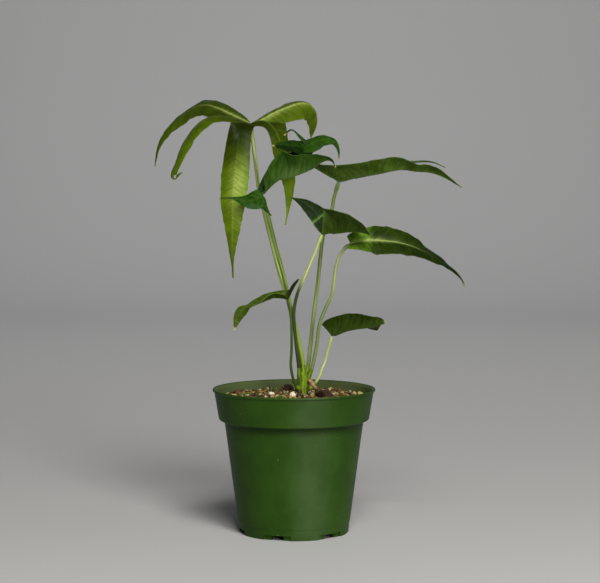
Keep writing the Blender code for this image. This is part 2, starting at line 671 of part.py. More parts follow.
def make_stalks():
    """Leaf stalks, from the crown's sheaths to just under each blade."""
    for name, stalk in STALKS.items():
        colour = make_material("stalk_" + name, (0.16, 0.27, 0.05), 0.4)
        route = Route(stalk["route"])
        radii = [stalk["radius"] * share for share in STALK_TAPER]
        shape = tube(route, stalk["sheath"] + CLEARANCE, route.length - STALK_GAP, radii,
                     STALK_SIDES, 6.0)
        smooth(add_object("stalk_" + name, shape, colour))


class Lobe:
    """One lobe of a blade: a midrib with a left and a right half."""

    def __init__(self, values, body):
        self.values = values
        self.route = Route(values["rib"])
        self.length = self.route.length
        self.body = values.get("body", body)
        self.split = BODY_RUNGS / (BODY_RUNGS + FREE_RUNGS) if self.body > 0.0 else 0.0
        self.notches = {"left": None, "right": None}

    def distance(self, share):
        """Distance along the rib for a share of the rungs from 0 to 1."""
        if share < self.split:
            return self.body * share / self.split
        beyond = (share - self.split) / (1.0 - self.split)
        return self.body + (self.length - self.body) * beyond

    def frame(self, distance):
        """Directions along the rib, to its left, and up off the blade."""
        part = distance / self.length
        along = self.route.direction(distance)
        heading = math.radians(blend(self.values["heading"], part))
        left = Vector((-math.sin(heading), math.cos(heading), 0.0))
        left = (left - along * left.dot(along)).normalized()
        left = Matrix.Rotation(math.radians(blend(self.values["roll"], part)), 3, along) @ left
        return along, left, along.cross(left)

    def half_width(self, part):
        start = self.values.get("start", 0.0)
        part = start + (1.0 - start) * part
        widest = self.values["widest"]
        if part < widest:
            base = self.values.get("base", BASE_POWER)
            shape = math.sin(math.pi / 2 * part / widest) ** base
        else:
            past = min((part - widest) / (1.0 - widest), 1.0)
            shape = math.cos(math.pi / 2 * past) ** self.values.get("taper", TIP_POWER)
        return max(self.values["width"] / 2 * shape, TIP_WIDTH / 2 if part > 0.5 else 0.0)

    def free_margin(self, share, side):
        """From the rib to the free edge, were there no neighbouring lobe."""
        distance = self.distance(share)
        part = distance / self.length
        along, left, up = self.frame(distance)
        outward = left if side == "left" else -left
        lift = math.radians(blend(self.values[side], part))
        width = self.half_width(part)
        margin = width * (math.cos(lift) * outward + math.sin(lift) * up)
        back = self.values.get("back", 0.0) * max(0.0, 1.0 - part / BACK_FADE) ** 2
        ripple = math.sin(math.tau * self.values.get("waves", 0.0) * part)
        fullness = min(1.0, 2 * width / self.values["width"])
        return margin - along * back + up * ripple * fullness * self.values.get("wave", 0.0)

    def margin(self, share, side):
        """From the rib to the edge, or to the seam with the next lobe."""
        if self.notches[side] is None:
            return self.free_margin(share, side)
        notch, rung = self.notches[side]
        end = self.split * rung / BODY_RUNGS
        if share <= end + 1e-6:
            return self.route.at(0.0).lerp(notch, share / end) - self.route.at(self.distance(share))
        at_notch = notch - self.route.at(self.distance(end))
        change = at_notch - self.free_margin(end, side)
        fade = max(0.0, 1.0 - (share - end) / (1.0 - end) / NOTCH_FADE) ** 2
        return self.free_margin(share, side) + change * fade

    def point(self, share, across):
        """A point of the blade; across runs from -1, right, to 1, left."""
        rib = self.route.at(self.distance(share))
        side = "left" if across > 0 else "right"
        return rib + self.margin(share, side) * abs(across)


def make_blade(name, blade):
    """A thin lobed sheet, its lobes joined along seams near the junction."""
    lobes = [Lobe(values, blade["body"]) for values in blade["lobes"]]
    for first, second, (point, rung) in zip(lobes, lobes[1:], blade["notches"]):
        first.notches["left"] = (Vector(point), rung)
        second.notches["right"] = (Vector(point), rung)
    sheet = bmesh.new()
    rungs = BODY_RUNGS + FREE_RUNGS if len(lobes) > 1 else SIMPLE_RUNGS
    for lobe in lobes:
        made = bmesh.ops.create_grid(sheet, x_segments=2 * HALF_STEPS, y_segments=rungs, size=1.0)
        for corner in made["verts"]:
            across, along = corner.co.x, corner.co.y
            corner.co = lobe.point((along + 1.0) / 2, -across)
    bmesh.ops.remove_doubles(sheet, verts=sheet.verts, dist=0.05)
    bmesh.ops.triangulate(sheet, faces=sheet.faces)
    colour = make_material("blade_" + name, blade["colour"], 0.35)
    item = add_object("blade_" + name, sheet, colour)
    thick = item.modifiers.new("thickness", "SOLIDIFY")
    thick.thickness = LEAF_THICKNESS * MM
    thick.offset = 0.0
    thick.use_even_offset = False
    item.data.shade_smooth()
    return item


def main():
    clear_scene()
    make_pot()
    make_potting_mix()
    make_crown()
    make_roots()
    make_stalks()
    for name, blade in BLADES.items():
        make_blade(name, blade)


main()
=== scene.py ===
import bisect
import random
from math import cos, dist, exp, hypot, pi, radians, sin, sqrt, tau

import bmesh
import bpy
from mathutils import Matrix, Vector, noise


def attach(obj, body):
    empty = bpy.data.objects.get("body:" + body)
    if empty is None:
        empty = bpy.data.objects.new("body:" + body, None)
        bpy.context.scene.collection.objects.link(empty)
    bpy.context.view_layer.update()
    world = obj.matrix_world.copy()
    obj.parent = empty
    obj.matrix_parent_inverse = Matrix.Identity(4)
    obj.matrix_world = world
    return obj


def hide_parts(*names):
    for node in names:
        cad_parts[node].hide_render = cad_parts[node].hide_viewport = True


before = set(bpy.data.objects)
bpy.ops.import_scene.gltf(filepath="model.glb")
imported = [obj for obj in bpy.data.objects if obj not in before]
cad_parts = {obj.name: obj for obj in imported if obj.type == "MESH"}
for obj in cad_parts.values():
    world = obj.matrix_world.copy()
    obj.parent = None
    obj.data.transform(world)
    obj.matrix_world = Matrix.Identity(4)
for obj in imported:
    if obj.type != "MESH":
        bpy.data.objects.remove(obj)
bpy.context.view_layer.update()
print("frame loaded")

mm = 0.001
scene = bpy.context.scene


# Curves and numbers shared by every piece

# Value at a share of the way through evenly spaced values; a plain number holds all the way
def blend(values, share):
    if not isinstance(values, tuple):
        return values
    place = min(max(share, 0.0), 1.0) * (len(values) - 1)
    lower = min(int(place), len(values) - 2)
    return values[lower] + (values[lower + 1] - values[lower]) * (place - lower)


def bell(distance, width):
    return exp(-((distance / width) ** 2))


# Sum of sines, each given as height and spacing
def waver(distance, phases, waves):
    return sum(height * sin(distance / step + phase)
               for (height, step), phase in zip(waves, phases))


def curvePoint(points, index, share):
    before = points[max(index - 1, 0)]
    start = points[index]
    end = points[index + 1]
    after = points[min(index + 2, len(points) - 1)]
    return 0.5 * (
        2 * start
        + (end - before) * share
        + (2 * before - 5 * start + 4 * end - after) * share**2
        + (3 * start - before - 3 * end + after) * share**3
    )


class Route:
    def __init__(self, points, steps=12):
        controls = [Vector(point) for point in points]
        self.points = [controls[0]]
        for index in range(len(controls) - 1):
            for step in range(1, steps + 1):
                self.points.append(curvePoint(controls, index, step / steps))
        self.marks = [0.0]
        for first, second in zip(self.points, self.points[1:]):
            self.marks.append(self.marks[-1] + (second - first).length)
        self.length = self.marks[-1]

    def at(self, distance):
        distance = min(max(distance, 0.0), self.length)
        index = min(max(bisect.bisect_left(self.marks, distance), 1), len(self.marks) - 1)
        span = self.marks[index] - self.marks[index - 1]
        share = (distance - self.marks[index - 1]) / span
        return self.points[index - 1].lerp(self.points[index], share)

    def direction(self, distance, reach=1.0):
        return (self.at(distance + reach) - self.at(distance - reach)).normalized()


# Objects: shapes are drawn in millimetres and end in metres

def makeObject(name, shape, scale=mm):
    bmesh.ops.scale(shape, vec=(scale, scale, scale), verts=shape.verts)
    data = bpy.data.meshes.new(name)
    shape.to_mesh(data)
    shape.free()
    data.shade_smooth()
    item = bpy.data.objects.new(name, data)
    scene.collection.objects.link(item)
    return item


def finishPiece(name, shape, material, nodes=(), sharp=50.0):
    piece = makeObject(name, shape)
    piece.data.materials.append(material)
    piece.data.set_sharp_from_angle(angle=radians(sharp))
    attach(piece, "root")
    if nodes:
        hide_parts(*nodes)
    return piece


# Applies the modifiers of a piece
def settle(piece, sharp=None):
    bpy.context.view_layer.update()
    ready = piece.evaluated_get(bpy.context.evaluated_depsgraph_get())
    final = bpy.data.meshes.new_from_object(ready)
    piece.modifiers.clear()
    piece.data = final
    final.shade_smooth()
    if sharp:
        final.set_sharp_from_angle(angle=radians(sharp))


# Adds nodes to one tree; every method hands back output sockets
class Mixer:
    def __init__(self, tree):
        self.tree = tree

    def feed(self, socket, value):
        if isinstance(value, bpy.types.NodeSocket):
            self.tree.links.new(value, socket)
        else:
            socket.default_value = (*value, 1.0) if socket.type == "RGBA" else value

    def node(self, kind, inputs=None, **settings):
        node = self.tree.nodes.new("ShaderNode" + kind)
        for key, value in settings.items():
            setattr(node, key, value)
        for key, value in (inputs or {}).items():
            self.feed(node.inputs[key], value)
        return node.outputs

    def math(self, operation, first, second=0.0):
        return self.node("Math", {0: first, 1: second}, operation=operation)[0]

    def times(self, first, second):
        return self.math("MULTIPLY", first, second)

    def plus(self, first, second):
        return self.math("ADD", first, second)

    def minus(self, first, second):
        return self.math("SUBTRACT", first, second)

    # Goes smoothly from start to end while the value goes from low to high
    def ramp(self, value, low, high, start=0.0, end=1.0):
        spans = {"From Min": low, "From Max": high, "To Min": start, "To Max": end}
        return self.node("MapRange", {"Value": value, **spans},
                         interpolation_type="SMOOTHSTEP")["Result"]

    def mix(self, share, first, second, mode="MIX"):
        return self.node("Mix", {0: share, 6: first, 7: second}, data_type="RGBA",
                         blend_type=mode)[2]

    # Lays tints over a colour, each with its own share
    def tint(self, colour, *tints):
        for share, over in tints:
            colour = self.mix(share, colour, over)
        return colour

    def split(self, vector):
        return self.node("SeparateXYZ", {0: vector})

    def layer(self, name):
        return self.node("Attribute", attribute_name=name)["Fac"]

    def uvMap(self, name):
        return self.node("UVMap", uv_map=name)[0]

    def points(self, stretch=(1.0, 1.0, 1.0)):
        place = self.node("TexCoord")["Object"]
        return self.node("Mapping", {"Vector": place, "Scale": stretch})[0]

    def noise(self, place, scale, detail=3.0, roughness=0.55):
        return self.node("TexNoise", {"Vector": place, "Scale": scale, "Detail": detail,
                                      "Roughness": roughness})["Fac"]


# A material whose shader keeps its constants on its own sockets
class Finish(Mixer):
    def __init__(self, name, colour, roughness, specular=0.5):
        self.material = bpy.data.materials.new(name)
        self.material.use_nodes = True
        super().__init__(self.material.node_tree)
        self.shader = self.tree.nodes["Principled BSDF"].inputs
        self.feed(self.shader["Base Color"], colour)
        self.feed(self.shader["Roughness"], roughness)
        self.feed(self.shader["Specular IOR Level"], specular)

    def finish(self, colour, roughness, height, depth, strength):
        relief = self.node("Bump", {"Height": height, "Distance": depth, "Strength": strength})
        self.feed(self.shader["Base Color"], colour)
        self.feed(self.shader["Roughness"], roughness)
        self.feed(self.shader["Normal"], relief["Normal"])
        return self.material


# Leaf blades. Each is a fan of lobes round its junction, as in the solids. A lobe lists its
# midrib past the junction, then its outline, how it turns and folds, and the light, shade
# and highlights painted on it.

bladeA = {
    "light": (0.15, 0.24, 0.004), "deep": (0.1, 0.17, 0.002), "under": (0.13, 0.2, 0.004),
    "underDeep": (0.08, 0.13, 0.002), "vein": (0.26, 0.34, 0.04), "rib": (0.42, 0.48, 0.12),
    "tip": (0.2, 0.24, 0.03), "glow": (0.3, 0.37, 0.09),
    "streaks": 0.1, "veinTint": 0.07, "edgeTint": 0.15, "tipTint": 0.4, "body": 24,
    "junction": (-28, 2, 263), "notches": (((-53, 8, 267), 4), ((-40, -8, 264), 2),
        ((-25, -2, 261.5), 1), ((-5.5, 5, 264), 4)),
    "lobes": (
        {"rib": ((-34.5, 7, 266.5), (-41, 11, 269.5), (-48.5, 16, 273), (-56.5, 21, 275.5),
             (-64.6, 26, 274.2), (-74.4, 31, 267.9), (-84, 34, 259), (-89.7, 35, 248.3),
             (-91.7, 35, 236)), "width": 19, "widest": 0.42, "base": 0.7, "taper": 1,
         "heading": (150, 160), "roll": (-35, -33, -39, -40), "lift": (-12, -14),
         "leftTone": (0.2, 0.18, 0.3, 0.45, 0.5), "rightTone": (0.3, 0.2, 0.26, 0.42, 0.5),
         "pale": (0.3, 0.3, 0.1, 0, 0), "ridge": (0.35, 0.6, 0.6, 0.15, 0, 0, 0, 0, 0, 0)},
        {"rib": ((-36.5, 0, 266), (-44.5, -2, 267.8), (-53, -5, 267), (-60, -8, 262.8),
             (-66.2, -11, 255.6), (-71, -13, 247), (-74.7, -14, 237.5), (-77.4, -14, 230.5),
             (-75.2, -15, 228), (-70.5, -17, 232.3)), "width": 16.4, "widest": 0.5, "taper": 0.65,
         "heading": (190, 200), "roll": (-20, 0), "lift": (-16, -14),
         "paintedShading": (0.14, 0.35, 0.62, 0.7), "pale": (0.1, 0.05)},
        {"rib": ((-32, -2, 262.5), (-34.8, -6.5, 258.5), (-36, -10.5, 249.5), (-37, -14.5, 238),
             (-38, -18, 224.5), (-38.8, -20, 210.5), (-38.7, -21, 196), (-39, -20.5, 182),
             (-38.5, -19, 165.5)), "width": 18.8, "base": 0.3, "taper": 1.7, "heading": (245, 268),
         "lift": -12, "leftTone": (0.08, 0.08, 0.18, 0.45, 0.9, 1.1, 0.85, 0.65, 0.45, 0.33, 0.28),
         "rightTone": (0.08, 0.08, 0.12, 0.32, 0.6, 0.7, 0.7, 0.6, 0.45, 0.33, 0.28),
         "pale": (0, 0, 0, 0.1, 0.12, 0.05, 0), "glow": (50, 13.5, 2.8, 4.5, 0.92)},
        {"rib": ((-21, 2, 265), (-14.5, -1.5, 262), (-10, -5, 254.5), (-7, -6, 244), (-4, -6, 233),
             (-2.5, -5, 222.5), (-3.5, -4, 211), (-5.5, -3, 198.5)), "width": 13.5, "widest": 0.42,
         "base": 1.3, "heading": (345, 310, 300), "roll": (10, 0), "lift": -14,
         "paintedShading": (0.1, 0.17, 0.6, 1.2, 1.1), "pale": (0.1, 0.1, 0)},
        {"rib": ((-21, 6, 265.5), (-13, 10, 270), (-4, 14, 274), (4.5, 18, 276.8), (11, 21, 275.5),
             (14.5, 23, 270), (14.5, 24, 262.5), (11, 24, 254.5)), "width": 23, "widest": 0.62,
         "taper": 0.75, "heading": (30, 15), "roll": 30, "left": (-30, -20),
         "right": (-14, -20, -45, -40), "leftTone": (0.46, 0.44, 0.36),
         "rightTone": (0.44, 0.42, 0.32), "pale": (0.5, 0.5, 0.3, 0.1, 0),
         "ridge": (1, 1, 0.6, 0.15, 0), "glow": (15, 12, -1.4, 2, 0.75)},
    ),
}
bladeB = {
    "light": (0.024, 0.08, 0.004), "deep": (0.014, 0.052, 0.002), "under": (0.03, 0.08, 0.005),
    "underDeep": (0.016, 0.052, 0.002), "vein": (0.07, 0.14, 0.02), "rib": (0.12, 0.2, 0.04),
    "tip": (0.42, 0.38, 0.12), "glow": (0.08, 0.13, 0.035),
    "gloss": 0.38, "body": 32, "junction": (-20, -20, 218), "notches": (((4.5, -15, 245.5), 4),
        ((4.5, -11.5, 246.5), 4), ((-2, -11.5, 244.5), 4), ((-23, -17.5, 221.5), 1),
        ((-21.5, -27.5, 209.5), 4)),
    "lobes": (
        {"rib": ((-16, -21.5, 222), (-12, -22.5, 225.5), (-7, -24, 228.5), (-0.5, -26, 230),
             (6.5, -28, 232.5), (12, -29, 235), (17, -30, 238.5), (21, -31, 240), (24, -31, 239),
             (26, -31, 235.5)), "width": 32, "widest": 0.42, "base": 1.3, "heading": (345, 350),
         "left": (45, 20), "right": (78, 55), "back": -3, "wave": 1.8, "waves": 3.1,
         "leftTone": (0.9, 0.9, 0.8), "rightTone": (0.7, 1, 0.75, 0.6), "pale": (0.3, 0.15, 0.05),
         "glow": (24, 10, 0, 5, 0.85)},
        {"rib": ((-15, -17, 225.5), (-7, -15, 234.5), (1.5, -14, 242), (8.5, -13, 248.5),
             (15, -12, 252), (21.5, -11, 253), (26, -10, 251.5), (28.5, -9, 246.5),
             (28.5, -9, 240)), "width": 15, "widest": 0.54, "taper": 1.4, "heading": (20, 0),
         "roll": (40, 35), "lift": (-5, -10), "paintedShading": 0.8},
        {"rib": ((-14.5, -14.5, 226), (-5, -12, 235), (4.5, -11, 242), (10.5, -11, 245.5),
             (10.5, -11.5, 248), (7.5, -12.5, 251), (3.5, -13.5, 255), (0, -14.5, 258.5),
             (-2.5, -15, 259), (-6, -15.5, 255.5)), "width": 5.5, "heading": (50, 120), "lift": 10,
         "paintedShading": 0.5},
        {"rib": ((-16.5, -15.5, 225), (-10, -12.5, 234), (-1, -11.5, 241), (5, -12.5, 244.5),
             (5.5, -15, 246.5), (2, -18, 248), (-3, -20.5, 248.5), (-8, -22.5, 249),
             (-13.5, -24, 249)), "width": 13.4, "widest": 0.72, "taper": 0.9,
         "heading": (60, 90, 150, 200, 200), "roll": (0, 0, -20, -40, -40), "leftTone": (0.3, 0.22),
         "rightTone": (0.6, 0.45), "pale": 0},
        {"rib": ((-23, -23, 216), (-27.5, -26, 214.5), (-32.5, -28.5, 215), (-39, -30.5, 216.5),
             (-47, -31, 216)), "width": 12, "widest": 0.22, "taper": 3, "heading": 190,
         "roll": (-64, -30), "left": (-20, -10), "right": (-15, -10), "body": 8,
         "paintedShading": (0.8, 0.7, 0.5)},
        {"rib": ((-19.5, -23.5, 215), (-18.5, -26.5, 211), (-14, -27.5, 205)), "width": 4.4,
         "widest": 0.45, "base": 0.8, "heading": 235, "lift": -8, "body": 7.5, "paintedShading": 0.8},
    ),
}
bladeC = {
    "light": (0.045, 0.095, 0.008), "deep": (0.028, 0.07, 0.004), "under": (0.065, 0.115, 0.012),
    "underDeep": (0.034, 0.072, 0.003), "vein": (0.09, 0.14, 0.03), "rib": (0.14, 0.19, 0.06),
    "tip": (0.25, 0.22, 0.08), "glow": (0.08, 0.115, 0.045),
    "gloss": 0.38, "veins": 7, "tipTint": 0.6, "body": 18, "junction": (29, 10, 226),
    "notches": (((25, 2, 236.5), 4), ((37.5, 15, 233), 4)),
    "lobes": (
        {"rib": ((24, 11, 229), (18, 13, 232.5), (12.5, 15, 235.5), (6, 17, 237.5)), "width": 15,
         "heading": (170, 165), "left": (45, 30), "right": (35, 30), "body": 12, "paintedShading": 1.1,
         "pale": (0.2, 0.05)},
        {"rib": ((35, 8, 227), (42, 6, 229), (54.5, 2, 231.5), (68, -1, 234), (78, -3, 233),
             (88, -5, 232), (97, -6, 228.5), (107, -7, 222.5)), "width": 20, "widest": 0.36,
         "base": 0.6, "taper": 1.1, "heading": (345, 355), "left": (35, 25), "right": (56, 40),
         "wave": 1, "waves": 2.8, "paintedShading": (0.7, 1, 1, 0.8, 0.7), "pale": (0.3, 0.05),
         "glow": (14, 12, 0, 5, 0.35)},
        {"rib": ((37.5, 17, 229.5), (51, 25, 234), (65.5, 31, 237), (79.5, 35, 238.5),
             (91, 37, 238.5), (100, 38, 235)), "width": 14, "taper": 1.2, "heading": (35, 10),
         "lift": (15, 10), "paintedShading": 0.9, "pale": (0.1, 0.05)},
    ),
}
bladeD = {
    "light": (0.035, 0.07, 0.006), "deep": (0.022, 0.05, 0.004), "under": (0.036, 0.066, 0.004),
    "underDeep": (0.025, 0.05, 0.003), "vein": (0.07, 0.12, 0.03), "rib": (0.13, 0.26, 0.05),
    "tip": (0.12, 0.13, 0.05), "glow": (0.02, 0.036, 0.026),
    "gloss": 0.34, "veinTint": 0.12, "edgeTint": 0.1, "tipTint": 0.5, "body": 16,
    "junction": (18, -13, 193), "notches": (((19, -20.5, 209.5), 4), ((27, -8, 200), 3)),
    "lobes": (
        {"rib": ((16.5, -15.5, 199.5), (14, -18, 205.5), (10, -20, 210), (5, -22, 213.5),
             (-1.5, -23, 216.5)), "width": 9.5, "widest": 0.44, "base": 0.7, "taper": 1.1,
         "heading": (205, 195), "roll": (80, 65), "paintedShading": 0.45, "pale": 0,
         "glow": (14, 12, 0, 8, 0.5), "seam": 0.35, "streak": (11.2, 0.3, 0.65)},
        {"rib": ((26, -19, 194), (34, -25, 195), (41.5, -30, 195), (48, -34, 193.5)), "width": 31,
         "widest": 0.44, "base": 0.3, "taper": 0.75, "heading": (320, 325), "left": (40, 15, -15),
         "right": (70, 50), "paintedShading": (1.1, 1), "pale": (0.1, 0.05), "seam": 0.35},
        {"rib": ((23, -5, 194.5), (27.5, 3, 196), (31.5, 10, 196.5), (35, 16, 195)), "width": 12,
         "heading": (55, 60), "lift": (20, 10), "pale": (0.1, 0.05)},
    ),
}
bladeE = {
    "light": (0.026, 0.052, 0.003), "deep": (0.014, 0.03, 0.0015), "under": (0.04, 0.075, 0.006),
    "underDeep": (0.026, 0.05, 0.003), "vein": (0.045, 0.08, 0.01), "rib": (0.26, 0.33, 0.09),
    "tip": (0.38, 0.35, 0.14), "glow": (0.34, 0.44, 0.12),
    "veins": 8, "veinTint": 0.2, "junction": (36, -12, 186.5),
    "lobes": (
        {"rib": ((42.5, -13, 188), (50.5, -14, 189), (58.5, -15, 188.5), (66.5, -15.5, 187.5),
             (75.5, -16, 185), (85.5, -16, 180.5), (94, -15, 175.5), (103, -14, 168.5),
             (107.5, -13, 163), (108.5, -13, 159)), "width": 24, "widest": 0.3, "base": 0.35,
         "taper": 1.6, "heading": (355, 360), "roll": (45, 30), "left": (8, 8, 2, -16, -16, 0),
         "right": (30, -2, 6, 8, 8, 5), "start": 0.04, "back": 1.5, "ragged": 0.2,
         # Painted light on the base of the blade, where leaf d's shadow falls; painted shade
         # further out
         "leftTone": (4.5, 6, 0.95, 0.85, 0.75, 0.68, 0.58, 0.48, 0.4, 0.36, 0.34, 0.34),
         "rightTone": (4, 5, 0.85, 0.7, 0.62, 0.56, 0.5, 0.44, 0.38, 0.35, 0.34, 0.34),
         "pale": (1, 1, 0.9, 0.5, 0.1, 0, 0, 0), "ridge": (1, 1, 0.35, 0.1, 0, 0, 0, 0)},
    ),
}
bladeF = {
    "light": (0.026, 0.046, 0.003), "deep": (0.016, 0.033, 0.002), "under": (0.024, 0.042, 0.002),
    "underDeep": (0.016, 0.031, 0.001), "vein": (0.05, 0.08, 0.012), "rib": (0.1, 0.15, 0.03),
    "tip": (0.45, 0.42, 0.15),
    "veinTint": 0.12, "edgeTint": 0.1, "junction": (24.5, 8, 126),
    "lobes": (
        {"rib": ((28.5, 7.5, 127.5), (33.5, 7, 129.5), (40, 6, 131), (48, 5, 132), (54, 4, 133.5),
             (59.5, 4, 135)), "width": 23.5, "widest": 0.14, "base": 0.3, "taper": 0.5,
         "heading": 352, "left": (50, 45, 35, 0, -30, 20), "right": (76, 72), "start": 0.05,
         "back": 3.2, "leftTone": (1, 0.9), "rightTone": (1, 0.9, 1.2), "pale": (0.2, 0.05)},
    ),
}
bladeG = {
    "light": (0.065, 0.1, 0.006), "deep": (0.038, 0.065, 0.003), "under": (0.06, 0.09, 0.006),
    "underDeep": (0.036, 0.06, 0.003), "vein": (0.1, 0.15, 0.02), "rib": (0.18, 0.25, 0.05),
    "tip": (0.5, 0.46, 0.16),
    "veins": 5, "edgeTint": 0.2, "body": 6, "junction": (-4, -16, 151.5),
    "notches": (((-3.5, -15, 157.5), 4),),
    "lobes": (
        {"rib": ((-2, -17, 155), (0, -18, 159.5), (3.5, -18, 165)), "width": 5.5, "widest": 0.6,
         "taper": 0.7, "heading": (335, 340), "lift": 25, "paintedShading": (0.25, 0.2)},
        {"rib": ((-8, -17, 152.5), (-14, -18.5, 152.5), (-20, -20.5, 150.5), (-26, -22.5, 148),
             (-30.5, -24, 146.5), (-33.5, -25, 144), (-35.5, -25, 140.5), (-36.5, -25, 137),
             (-37.5, -25, 133)), "width": 11.5, "widest": 0.3, "base": 0.35, "taper": 0.8,
         "heading": (185, 190, 215, 260, 270), "left": (40, 35, 15, 0, 0),
         "right": (65, 42, 12, 0, 0), "paintedShading": (0.55, 1, 0.8), "pale": (0.2, 0.05)},
    ),
}
blades = {"a": bladeA, "b": bladeB, "c": bladeC, "d": bladeD, "e": bladeE, "f": bladeF, "g": bladeG}

# What every blade and lobe has, where its own values don't say otherwise
bladeForm = {
    "gloss": 0.36, "shine": 0.08, "streaks": 0.2, "veins": 6, "veinTint": 0.15, "netTint": 0.08,
    "edgeTint": 0.12, "tipTint": 0.9, "rim": (0.955, 1), "bump": 0.00012, "body": 0, "notches": (),
    "thickness": 0.45, "join": 0.02, "softening": 4, "sharp": 60, "blotch": (130, 4),
    "fine": (420, 2), "glossSpread": (-0.05, 0.08), "netScale": 520, "netEdge": (0, 0.14),
    "veinEdge": (0.015, 0.06), "midribEdge": (0.02, 0.085), "streakGrain": (5.5, 1.3),
}
lobeForm = {
    "widest": 0.4, "base": 0.5, "taper": 1.5, "roll": 0, "start": 0, "back": 0, "wave": 0,
    "waves": 0, "ragged": 0.12, "pale": 0.1, "ridge": 0, "glow": None, "seam": 0, "streak": None,
    "bodyRungs": 4, "freeRungs": 8, "rungRows": 5, "rowStep": 1.1, "leastRows": 8,
    "columns": (0.0, 0.035, 0.09, 0.19, 0.34, 0.52, 0.70, 0.86, 1.0),
    "bow": 0.07, "tipWidth": 0.9, "notchFade": 0.35, "backFade": 0.25,
    "veinSlope": 0.75, "veinCurve": 0.018, "veinDepth": 0.16, "veinWidth": 0.6,
    "ribHeight": 0.22, "ribWidth": 0.5, "ribDepth": 0.6, "keelWidth": 0.7, "ridgeWidth": 1.5,
    "ripples": ((0.3, 2.9), (0.2, 1.5)), "frays": ((1.0, 1.1), (0.5, 0.53)),
}


class Lobe:
    def __init__(self, values, blade, draw):
        lift, paintedShading = values.get("lift", 0), values.get("paintedShading", 1)
        vars(self).update({"left": lift, "right": lift, "leftTone": paintedShading, "rightTone": paintedShading,
                           "body": blade["body"], **lobeForm, **values})
        self.route = Route((blade["junction"], *self.rib))
        self.length = self.route.length
        rungs = self.bodyRungs + self.freeRungs
        self.split = self.bodyRungs / rungs if self.body > 0 else 0.0
        self.notches = {}
        self.shift = draw.random()
        self.phases = {side: (draw.uniform(0, tau), draw.uniform(0, tau))
                       for side in ("left", "right")}

    def distance(self, share):
        if share < self.split:
            return self.body * share / self.split
        beyond = (share - self.split) / (1.0 - self.split)
        return self.body + (self.length - self.body) * beyond

    def halfWidth(self, part):
        part = self.start + (1.0 - self.start) * part
        if part < self.widest:
            shape = sin(pi / 2 * part / self.widest) ** self.base
        else:
            past = min((part - self.widest) / (1.0 - self.widest), 1.0)
            shape = cos(pi / 2 * past) ** self.taper
        least = self.tipWidth / 2 if part > 0.5 else 0.0
        return max(self.width / 2 * shape, least)

    def freeMargin(self, share, side):
        distance = self.distance(share)
        part = distance / self.length
        along = self.route.direction(distance)
        heading = radians(blend(self.heading, part))
        left = Vector((-sin(heading), cos(heading), 0.0))
        left = (left - along * left.dot(along)).normalized()
        left = Matrix.Rotation(radians(blend(self.roll, part)), 3, along) @ left
        up = along.cross(left)
        outward = left if side == "left" else -left
        lift = radians(blend(getattr(self, side), part))
        width = self.halfWidth(part)
        margin = width * (cos(lift) * outward + sin(lift) * up)
        back = self.back * max(0.0, 1.0 - part / self.backFade) ** 2
        ripple = sin(tau * self.waves * part)
        fullness = min(1.0, 2 * width / self.width)
        return margin - along * back + up * ripple * fullness * self.wave

    # The margin first runs straight to the notch that is shared with the next lobe
    def margin(self, share, side):
        if side not in self.notches:
            return self.freeMargin(share, side)
        notch, rung = self.notches[side]
        end = self.split * rung / self.bodyRungs
        if share <= end + 1e-6:
            return self.route.at(0.0).lerp(notch, share / end) - self.route.at(self.distance(share))
        change = notch - self.route.at(self.distance(end)) - self.freeMargin(end, side)
        fade = max(0.0, 1.0 - (share - end) / (1.0 - end) / self.notchFade) ** 2
        return self.freeMargin(share, side) + change * fade

    # Rows of the fine grid along the lobe, as shares of its rungs
    def rowShares(self):
        bodyRows = self.bodyRungs * self.rungRows if self.split else 0
        freeRows = max(self.leastRows, round((self.length - self.body) / self.rowStep))
        return ([self.split * row / bodyRows for row in range(bodyRows)]
                + [self.split + (1 - self.split) * row / freeRows for row in range(freeRows + 1)])

    # Sunk veins and the raised midrib
    def relief(self, distance, lateral, spacing):
        bent = distance - self.veinSlope * lateral + self.veinCurve * lateral**2
        phase = bent / spacing + self.shift
        away = abs(phase - round(phase)) * spacing
        vein = self.veinDepth * bell(away, self.veinWidth) * min(1, lateral / 1.5)
        rib = self.ribHeight * bell(lateral, self.ribWidth)
        return rib * (1.0 - 0.7 * distance / self.length) - vein

    # Painted light and shade, painted highlights, and the masks that the leaf material reads
    def paint(self, distance, side, across, lateral, fused):
        part = distance / self.length
        paintedShading = blend(getattr(self, side + "Tone"), part)
        if across == 0.0:
            paintedShading = (paintedShading + blend(self.leftTone, part)) / 2
        seam = self.seam * across**12 if fused else 0.0
        if self.streak:
            spot, lean, spread = self.streak
            seam += bell(distance - spot - lean * lateral, spread)
        # Painted highlight along the midrib, and a painted highlight or sheen in one patch
        glow = blend(self.ridge, part) * bell(lateral, self.ridgeWidth)
        if self.glow:
            spot, length, middle, width, amount = self.glow
            glow = max(glow, amount * bell(distance - spot, length) * bell(lateral - middle, width))
        keel = self.ribDepth * (1.0 - 0.75 * part) * bell(lateral, self.keelWidth)
        return {"rib": keel, "paintedShading": paintedShading, "seam": seam, "pale": blend(self.pale, part),
                "glow": glow}


